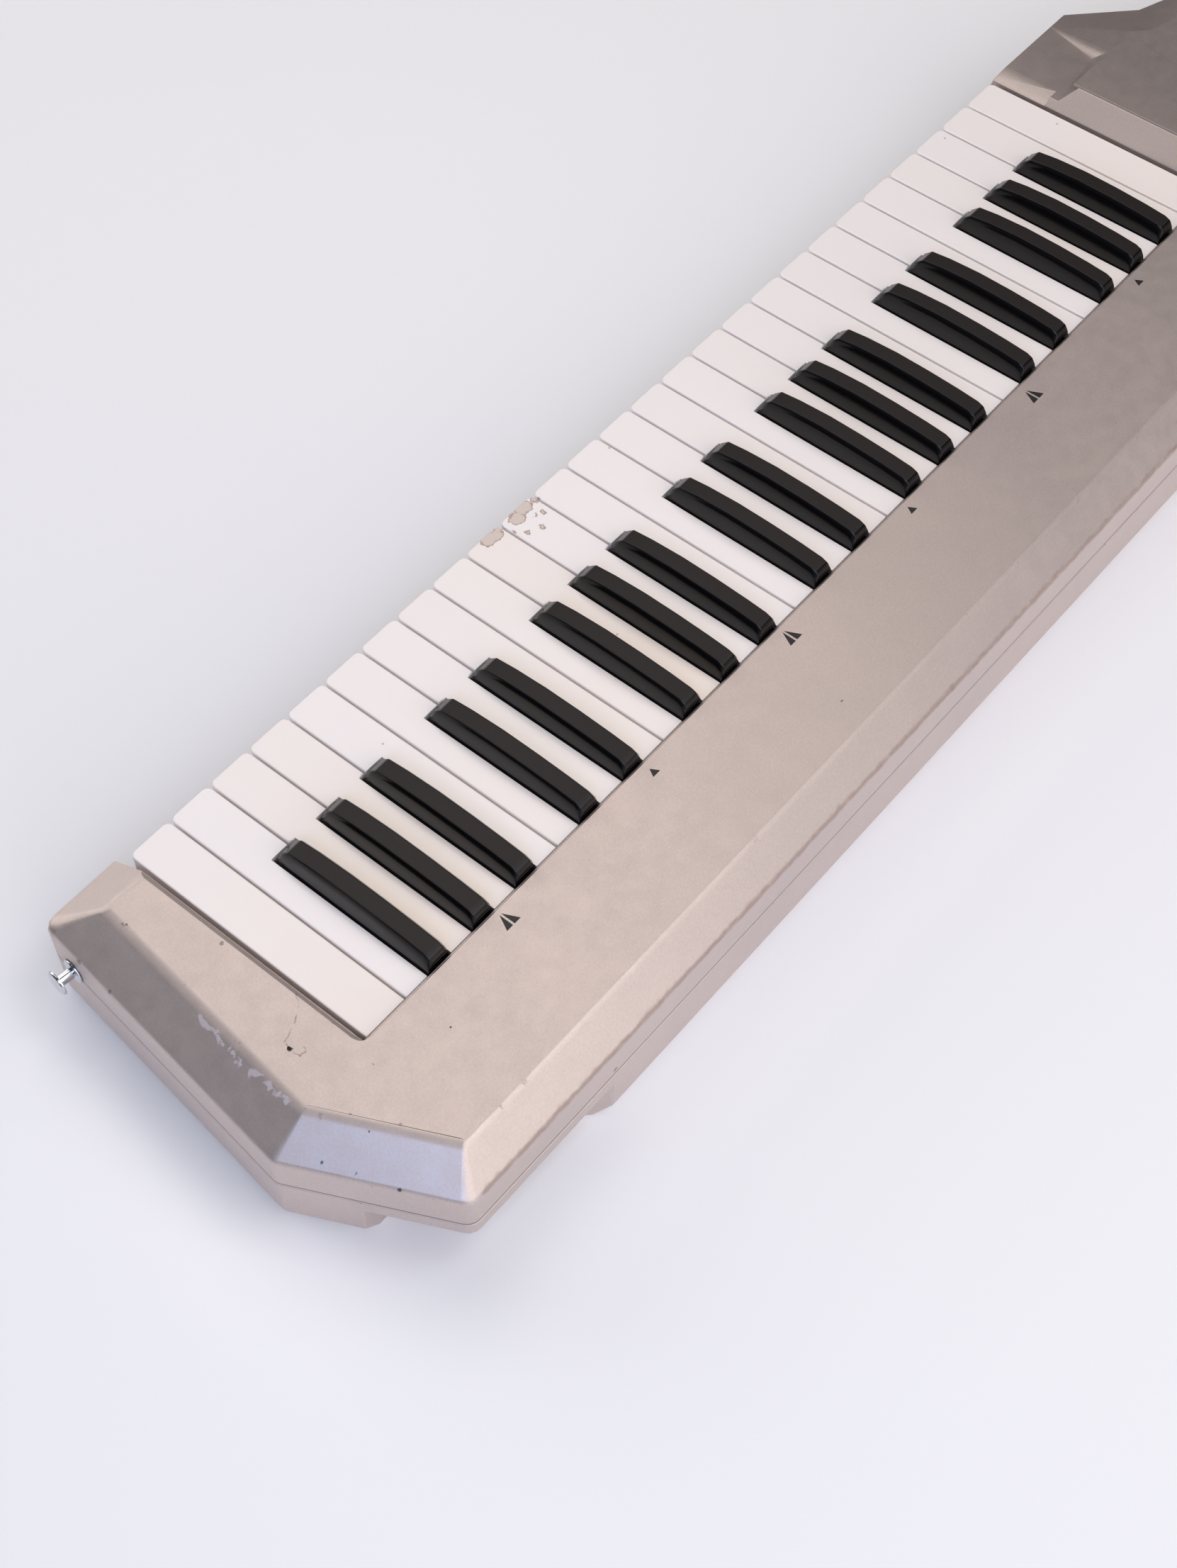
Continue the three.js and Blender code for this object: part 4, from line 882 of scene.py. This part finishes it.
print("trees can be started, ended and run")

# %% [markdown]
# A screw's head is a cone with its top cut off, less a cross for the driver. The cross is two
# bars, one turned by a quarter, and a Mesh Boolean takes them away.

# %% Case screws
RIM_SHARE = 0.72
CROSS_RISE = 1.1
DOWN = (0, 0, -1)

screw_tree, given = start_tree("recessed_screw", {
    "Radius": 3.2 * MM, "Height": 1.5 * MM, "Slot": 0.7 * MM})
rim = add(screw_tree, "ShaderNodeMath", {0: given["Radius"], 1: RIM_SHARE}, operation="MULTIPLY")
head = add(screw_tree, "GeometryNodeMeshCone", {
    "Vertices": 24, "Side Segments": 1, "Radius Top": rim,
    "Radius Bottom": given["Radius"], "Depth": given["Height"]})
slot_size = add(screw_tree, "ShaderNodeCombineXYZ", {
    "X": rim, "Y": given["Slot"], "Z": given["Height"]})
driven = add(screw_tree, "GeometryNodeMeshBoolean", {"Mesh 1": head},
             operation="DIFFERENCE", solver="EXACT")
for turned in (0, math.pi / 2):
    bar = add(screw_tree, "GeometryNodeMeshCube", {"Size": slot_size})
    add(screw_tree, "GeometryNodeTransform", {
        "Geometry": bar, "Translation": (0, 0, CROSS_RISE * MM),
        "Rotation": (0, 0, turned)}, to=driven.node.inputs["Mesh 2"])
end_tree(screw_tree, driven, given)

seats = [at(x, y, z + RECESS_DEPTH) for x, y, z in SCREW_PLACES]
screws = grown("case_screws", seats, screw_tree, blackened, [DOWN] * len(seats))
hand_over(screws, "case")
print("screw mesh faces", len(screws.data.polygons))

# %% [markdown]
# The recesses are cut by cylinders that a second, smaller tree puts on the same points. Half of
# each cylinder stands below the floor of the case, so that the cut leaves no skin.

# %% Recesses for the screws
recess_tree, given = start_tree("screw_recess", {
    "Radius": RECESS_RADIUS * MM, "Depth": 2 * RECESS_DEPTH * MM})
drum = add(recess_tree, "GeometryNodeMeshCylinder", {
    "Vertices": 32, "Radius": given["Radius"], "Depth": given["Depth"]})
end_tree(recess_tree, drum, given)
recess_cutter = grown(
    "recess_cutter", [at(*where) for where in SCREW_PLACES], recess_tree, lacquer,
    [(0, 0, 1)] * len(SCREW_PLACES))
print("recess cutter faces", len(recess_cutter.data.polygons))

# %% [markdown]
# The case is two mouldings that meet at a parting line. The ridges of the panel are soft, about
# 3 mm in radius, those of the other bevels 2 mm, and the ridges between the bevels at the tail
# 4.5 mm. The rim round the keys is crisp, and the parting line has only its burr taken off. Most
# edges follow from how their two faces lean. The others are named by a box that they lie in.

# %% The two halves of the case
FAR = 2000
UPRIGHT = 0.02
BEVEL_LEAN = 0.4
TAIL_X = -200
SHOULDER_X = -620
UNDER_Z = -60
# The ridge behind the panel runs out into the shoulder. Its last stretch gets a small radius.
RIDGE_END = -612
# The parting line, the rim round the keys, the foot of the platform, the front of the shoulder,
# and what lies behind the panel there.
UPPER_BOXES = [
    ((-FAR, -FAR, -FAR), (FAR, FAR, PARTING_Z), 0.3),
    ((-640, -FAR, -6), (5.5, 4, FAR), 0.35),
    ((-655, -FAR, -2), (-632, FAR, FAR), 0.4),
    ((-FAR, -FAR, -FAR), (-632, -90, FAR), 0.5),
    ((-FAR, 55, -2), (RIDGE_END, FAR, FAR), 0.3),
    ((-FAR, 35, -2), (-632, FAR, FAR), 0.3),
]
# The parting line, and the rims of the sockets' holes, which are left sharp.
LOWER_BOXES = [
    ((-FAR, -FAR, -31), (FAR, FAR, FAR), 0.3),
    ((-24, -FAR, -54), (17, 45, -37), 0.0),
]


def radius_at(middle, boxes, usual):
    """The radius of the first box that a place lies in."""
    for low, high, radius in boxes:
        if all(low[i] < middle[i] < high[i] for i in range(3)):
            return radius
    return usual


def upper_radius(middle, one, other):
    """The upper half's edge radius in mm."""
    steep, level = sorted((one.z, other.z))
    if level > LEVEL and steep < UPRIGHT:
        return 0.3
    usual = 3.0 if level > LEVEL and middle.x > SHOULDER_X else 2.0
    if level < LEVEL and steep > BEVEL_LEAN and middle.x > TAIL_X:
        usual = 4.5
    return radius_at(middle, UPPER_BOXES, usual)


def lower_radius(middle, one, other):
    """The lower half's edge radius in mm."""
    beside_level = max(abs(one.z), abs(other.z)) >= LEVEL
    crisp = beside_level and middle.z >= UNDER_Z
    return radius_at(middle, LOWER_BOXES, 0.4 if crisp else 1.1)


upper_half = dressed(
    "upper_case", "case_upper_half", lacquer, 4.5, upper_radius,
    split_x=RIDGE_END)
lower_half = dressed(
    "lower_case", "case_lower_half", lacquer, 1.1, lower_radius,
    cutter=recess_cutter)
bpy.data.objects.remove(recess_cutter)
print("case faces", len(upper_half.data.polygons), len(lower_half.data.polygons))

# %% [markdown]
# All 45 keys are rounded copies of their solids. The white ones are moulded with a radius of
# about 0.7 mm round the top. Counting from the low end, a few have yellowed more than the rest.

# %% White keys
YELLOWED = {27: 0.55, 25: 0.9, 24: 0.8, 22: 0.35, 21: 0.3, 19: 0.45, 18: 0.9, 17: 0.2, 20: 0.5,
            13: 0.25, 11: 0.3, 8: 0.2, 4: 0.35, 2: 0.4, 1: 0.5}
LITTLE_YELLOWED = 0.1


def white_radius(middle, one, other):
    """A white key's edge radius in mm: soft round the top, crisp below."""
    return 0.7 if middle.z > -0.5 else 0.25


white_faces = 0
for number in range(1, 28):
    key = dressed(f"white_key_{number:02d}", f"white_key_{number:02d}_moulding", white_abs,
                  0.7, white_radius)
    amount = YELLOWED.get(number, LITTLE_YELLOWED)
    yellow = key.data.attributes.new("yellowing", "FLOAT", "POINT")
    yellow.data.foreach_set("value", [amount] * len(key.data.vertices))
    white_faces += len(key.data.polygons)
print("white key faces", white_faces)

# %% [markdown]
# The black keys lean in towards a narrow top that falls away at the front. The top is found by the
# direction its faces point in, and marked for the material as gritty.

# %% Black keys
TOP_FACING = 0.86
FLANK_TURN = 0.1


def black_radius(middle, one, other):
    """A black key's edge radius in mm: the ridges beside the gritty top stay crisp."""
    if middle.z < -1:
        return 0.2
    return 0.45 if abs(one.x - other.x) > FLANK_TURN else 0.6


black_faces = 0
for number in range(1, 19):
    key = dressed(f"black_key_{number:02d}", f"black_key_{number:02d}_moulding", black_abs,
                  0.6, black_radius)
    gritty = [0.0] * len(key.data.vertices)
    for face in key.data.polygons:
        if face.normal.z > TOP_FACING:
            for index in face.vertices:
                gritty[index] = 1.0
    key.data.attributes.new("gritty", "FLOAT", "POINT").data.foreach_set("value", gritty)
    black_faces += len(key.data.polygons)
print("black key faces", black_faces)

# %% [markdown]
# The printed triangles show where the octaves lie: a pair of narrow ones beside each C, and a
# smaller single one beside each F. Each is a thin film of ink that stands 0.04 mm above the
# panel, a real shape and not a pattern in the lacquer, so that its edge stays sharp.

# %% Printed triangles
INK_MM = 0.04
PAIRS = [(-75.9, 9.5), (-266.0, 10.0), (-455.4, 11.2)]
SINGLES = [(-170.9, 9.2), (-360.3, 8.3), (-552.3, 8.6)]


def printed(name, outlines, level, body):
    """Flat printed shapes with a thin edge, on one body."""
    shape = bmesh.new()
    for corners in outlines:
        low = [shape.verts.new(at(x, y, level - INK_MM)) for x, y in corners]
        high = [shape.verts.new(at(x, y, level + INK_MM)) for x, y in corners]
        shape.faces.new(high)
        shape.faces.new(low[::-1])
        for i in range(len(corners)):
            j = (i + 1) % len(corners)
            shape.faces.new((low[i], low[j], high[j], high[i]))
    bmesh.ops.recalc_face_normals(shape, faces=shape.faces)
    mesh = bpy.data.meshes.new(name)
    shape.to_mesh(mesh)
    shape.free()
    hand_over(own_object(name, mesh, ink), body)


outlines = [
    [(x + side * 0.5, y - 3.9), (x + side * 4.2, y + 3.6), (x + side * 0.5, y + 3.6)]
    for x, y in PAIRS for side in (-1, 1)
] + [[(x, y - 2.1), (x + 2.3, y + 1.9), (x - 2.3, y + 1.9)] for x, y in SINGLES]
printed("printed_triangles", outlines, PANEL_Z, "case")
print("triangles", len(outlines))

# %% [markdown]
# The small mouldings and the turned pins keep the shapes of their solids, with a radius of half a
# millimetre. What is sealed inside the case is never seen edge on and only gets its material.

# %% Buttons, bar, knob, switch, pins and the parts inside
SMALL_RADIUS = 0.5


def small_radius(middle, one, other):
    """A small piece's edge radius in mm."""
    return SMALL_RADIUS


for node, name, material, slot in [
    ("octave_down_button", "octave_down_cap", grey_etched, "grey_plastic"),
    ("octave_up_button", "octave_up_cap", grey_etched, "grey_plastic"),
    ("modulation_bar", "modulation_bar_moulding", grey_etched, "grey_plastic"),
    ("power_switch", "power_switch_slider", black_etched, "black_plastic"),
    ("bend_ribbon", "bend_ribbon_film", film_strip, "ribbon_pad"),
    ("volume_knob", "volume_knob_moulding", black_etched, "black_plastic"),
    ("strap_pin_tail", "strap_pin_tail_turned", chrome, "chrome_pin"),
    ("strap_pin_neck", "strap_pin_neck_turned", chrome, "chrome_pin"),
]:
    dressed(node, name, material, SMALL_RADIUS, small_radius)

inside = {"key_chassis": zinc, "contact_board": mask, "battery_cells": foil}
for node, material in inside.items():
    frame["nodes"][node].data.materials.clear()
    frame["nodes"][node].data.materials.append(material)
print("inside", sorted(inside))

# %% [markdown]
# The main board is one solid, but three finishes show on it through the sockets' holes: the green
# board, the black plastic of the sockets, the switch body and the chip, and the plated pin in the
# power socket. Each face of a copy is given one of the three by where it lies.

# %% Main board
BOARD_THICKNESS = 1.6
WALL = 2.8
ABOVE_BOARD = 0.1
PIN_X, PIN_Z = -14, -45.5
PIN_REACH = 1.2
PIN_FROM_Y = 20

board_low, board_high = (from_keys(corner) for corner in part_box("main_board"))
board_top_z = board_low.z + BOARD_THICKNESS
board_edge_y = board_high.y - WALL
board = own_object("main_board_assembly", frame["nodes"]["main_board"].data.copy(),
                   mask, black_etched, zinc)
for face in board.data.polygons:
    centre = from_keys(face.center)
    from_pin = math.hypot(centre.x - PIN_X, centre.z - PIN_Z)
    if from_pin < PIN_REACH and centre.y > PIN_FROM_Y:
        face.material_index = 2
    elif centre.z > board_top_z + ABOVE_BOARD or centre.y > board_edge_y:
        face.material_index = 1
hand_over(board, frame["nodes"]["main_board"]["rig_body"])
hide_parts("main_board")
print("top of the board", round(board_top_z, 2))

# %% [markdown]
# Fingers need something to grip. The volume knob has fine ribs round it, one of them painted
# white as a pointer, the modulation bar and the power switch have ribs across, and the battery
# door has finger grooves. All are one shape, a bar with round ends, made from a ball whose two
# halves are drawn apart.

# %% A tree for grip ribs
rib_tree, given = start_tree("grip_rib", {"Radius": 0.4 * MM, "Length": 9 * MM})
ball = add(rib_tree, "GeometryNodeMeshUVSphere", {
    "Segments": 12, "Rings": 8, "Radius": given["Radius"]})
where = add(rib_tree, "ShaderNodeSeparateXYZ", {0: add(rib_tree, "GeometryNodeInputPosition")})
side = add(rib_tree, "ShaderNodeMath", {0: where.node.outputs["Z"]}, operation="SIGN")
half = add(rib_tree, "ShaderNodeMath", {0: given["Length"], 1: 0.5}, operation="MULTIPLY")
reach = add(rib_tree, "ShaderNodeMath", {0: half, 1: given["Radius"]}, operation="SUBTRACT")
shift = add(rib_tree, "ShaderNodeMath", {0: side, 1: reach}, operation="MULTIPLY")
away = add(rib_tree, "ShaderNodeCombineXYZ", {"Z": shift})
bar = add(rib_tree, "GeometryNodeSetPosition", {"Geometry": ball, "Offset": away})
smooth = add(rib_tree, "GeometryNodeSetShadeSmooth", {"Geometry": bar})
end_tree(rib_tree, smooth, given)
print("rib tree nodes", len(rib_tree.nodes))

# %% [markdown]
# The knob tapers, so its ribs stand in a ring and lean in as they rise. The ribs on the bar and
# the switch stand in a row. Each row of the table is one piece, on the body that it grips.

# %% Grip ribs
KNOB = (-795, -38, 14.8)
KNOB_RADIUS = 8.1
KNOB_RIBS = 20
LEAN_IN, LEAN_UP = -1.15, 10.5
turns = [2 * math.pi * i / KNOB_RIBS for i in range(KNOB_RIBS)]
feet = [at(KNOB[0] + KNOB_RADIUS * math.sin(t), KNOB[1] + KNOB_RADIUS * math.cos(t), KNOB[2])
        for t in turns]
leans = [(LEAN_IN * math.sin(t), LEAN_IN * math.cos(t), LEAN_UP) for t in turns]
bar_ribs = [at(-960 + 4 * i, -29.5, 13.75) for i in range(-8, 9)]
switch_ribs = [at(-34 + 1.2 * i, 39.2, -47) for i in (-1, 0, 1)]
# Name, node, material, slot, places, directions, radius and length.
RIBS = [
    ("knob_ribs", "volume_knob", black_etched, "black_plastic",
     feet[1:], leans[1:], 0.5, 9.0),
    ("knob_pointer", "volume_knob", white_paint, "grey_plastic",
     feet[:1], leans[:1], 0.6, 10.0),
    ("modulation_bar_ribs", "modulation_bar", grey_etched, "grey_plastic",
     bar_ribs, [(0, 1, 0)] * len(bar_ribs), 0.5, 8.0),
    ("power_switch_ribs", "power_switch", black_etched, "black_plastic",
     switch_ribs, [(0, 0, 1)] * len(switch_ribs), 0.3, 3.2),
]
for name, node, material, slot, places, directions, radius, length in RIBS:
    ribs = grown(name, places, rib_tree, material, directions,
                 Radius=radius * MM, Length=length * MM)
    hand_over(ribs, frame["nodes"][node]["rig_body"])
print("ribbed pieces", len(RIBS))

# %% [markdown]
# The battery door is painted with the case. Its finger grooves are the same bars, cut away. The
# octave buttons get an arrow each, printed like the triangles, along the way the octave moves.

# %% Battery door and arrows
GROOVES = 5
GROOVE_STEP = 2.8
ARROW_ENDS = (-866.0, -861.0)
ARROW_HALF = 2.4

groove_places = [at(-265, 0.5 - GROOVE_STEP * i, FLOOR_Z - 0.1) for i in range(GROOVES)]
grooves = grown("door_groove_cutter", groove_places, rib_tree, lacquer,
                [(1, 0, 0)] * GROOVES, Radius=0.9 * MM, Length=34 * MM)
dressed("battery_door", "battery_door_moulding", lacquer, SMALL_RADIUS,
        small_radius, cutter=grooves)
bpy.data.objects.remove(grooves)

for node, name, (tip, base) in [
    ("octave_down_button", "octave_down_arrow", ARROW_ENDS),
    ("octave_up_button", "octave_up_arrow", ARROW_ENDS[::-1]),
]:
    low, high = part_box(node)
    y = from_keys((low + high) / 2).y
    outline = [(tip, y), (base, y - ARROW_HALF), (base, y + ARROW_HALF)]
    printed(name, [outline], from_keys(high).z, frame["nodes"][node]["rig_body"])
print("door grooves", GROOVES)

# %% [markdown]
# The instrument lies on a plain pale floor, like studio paper that reaches out of every picture.

# %% Floor
FLOOR_REACH = 8
mesh = bpy.data.meshes.new("floor")
mesh.from_pydata([
    (x * FLOOR_REACH, y * FLOOR_REACH, 0) for x, y in ((-1, -1), (1, -1), (1, 1), (-1, 1))],
    [], [(0, 1, 2, 3)])
floor_paper = noisy_finish("floor_paper_matt", (400, 2.0, 0.5), "#F6F6F8", "#F9F9FB",
                           Roughness=0.9, IOR=1.45)
floor = own_object("floor", mesh, floor_paper)
print("floor reaches", FLOOR_REACH, "m each way")

# %% [markdown]
# Pearl lacquer shows a lamp most where the lamp lies in a face's mirror direction. So there are
# five soft lamps, each in the mirror direction of one face in the picture: the ceiling for the
# tail end of the panel, the ridge lamp for the rounding behind it, the wall for the back bevel,
# the room for what faces the player, and a cool window for the tail's corner. A faint sky fills
# the shadows. The strengths are set so that a colour comes out about as it is written.

# %% Sky and lamps
world = bpy.data.worlds.new("pale_sky")
bpy.context.scene.world = world
world.use_nodes = True
tree = world.node_tree
tree.nodes.clear()
sky = add(tree, "ShaderNodeBackground", {"Color": linear("#EEF0F6"), "Strength": 0.1})
add(tree, "ShaderNodeOutputWorld", {"Surface": sky})

# Name, direction from the middle, distance and size in metres, power in watts, colour.
LAMPS = [
    ("ceiling", (-0.22, -0.38, 0.9), 1.9, 1.2, 8.5, "#FFF8F3"),
    ("ridge", (-0.15, 0.3, 0.9), 2.0, 0.7, 6, "#FFFAF6"),
    ("wall", (0.12, 0.75, 0.55), 2.3, 3.1, 49, "#FFFAF8"),
    ("room", (0.1, -0.92, 0.4), 2.4, 1.8, 17, "#FFFAF6"),
    ("window", (0.72, 0.3, 0.6), 2.5, 1.1, 14, "#B4CEFF"),
]
MIDDLE = Vector((0.2, 0.0, 0.05))


def soft_lamp(name, where, towards, size, power, colour):
    """A square lamp that shines at a point."""
    light = bpy.data.lights.new(name, "AREA")
    light.size = size
    light.energy = power
    light.color = linear(colour)[:3]
    lamp = bpy.data.objects.new(name, light)
    bpy.context.scene.collection.objects.link(lamp)
    aim = (towards - where).to_track_quat("-Z", "Y")
    lamp.matrix_world = Matrix.Translation(where) @ aim.to_matrix().to_4x4()


for name, direction, distance, size, power, colour in LAMPS:
    where = MIDDLE + Vector(direction).normalized() * distance
    soft_lamp(name, where, MIDDLE, size, power, colour)
bpy.context.scene.view_settings.view_transform = "Standard"
print("lamps", len(LAMPS))
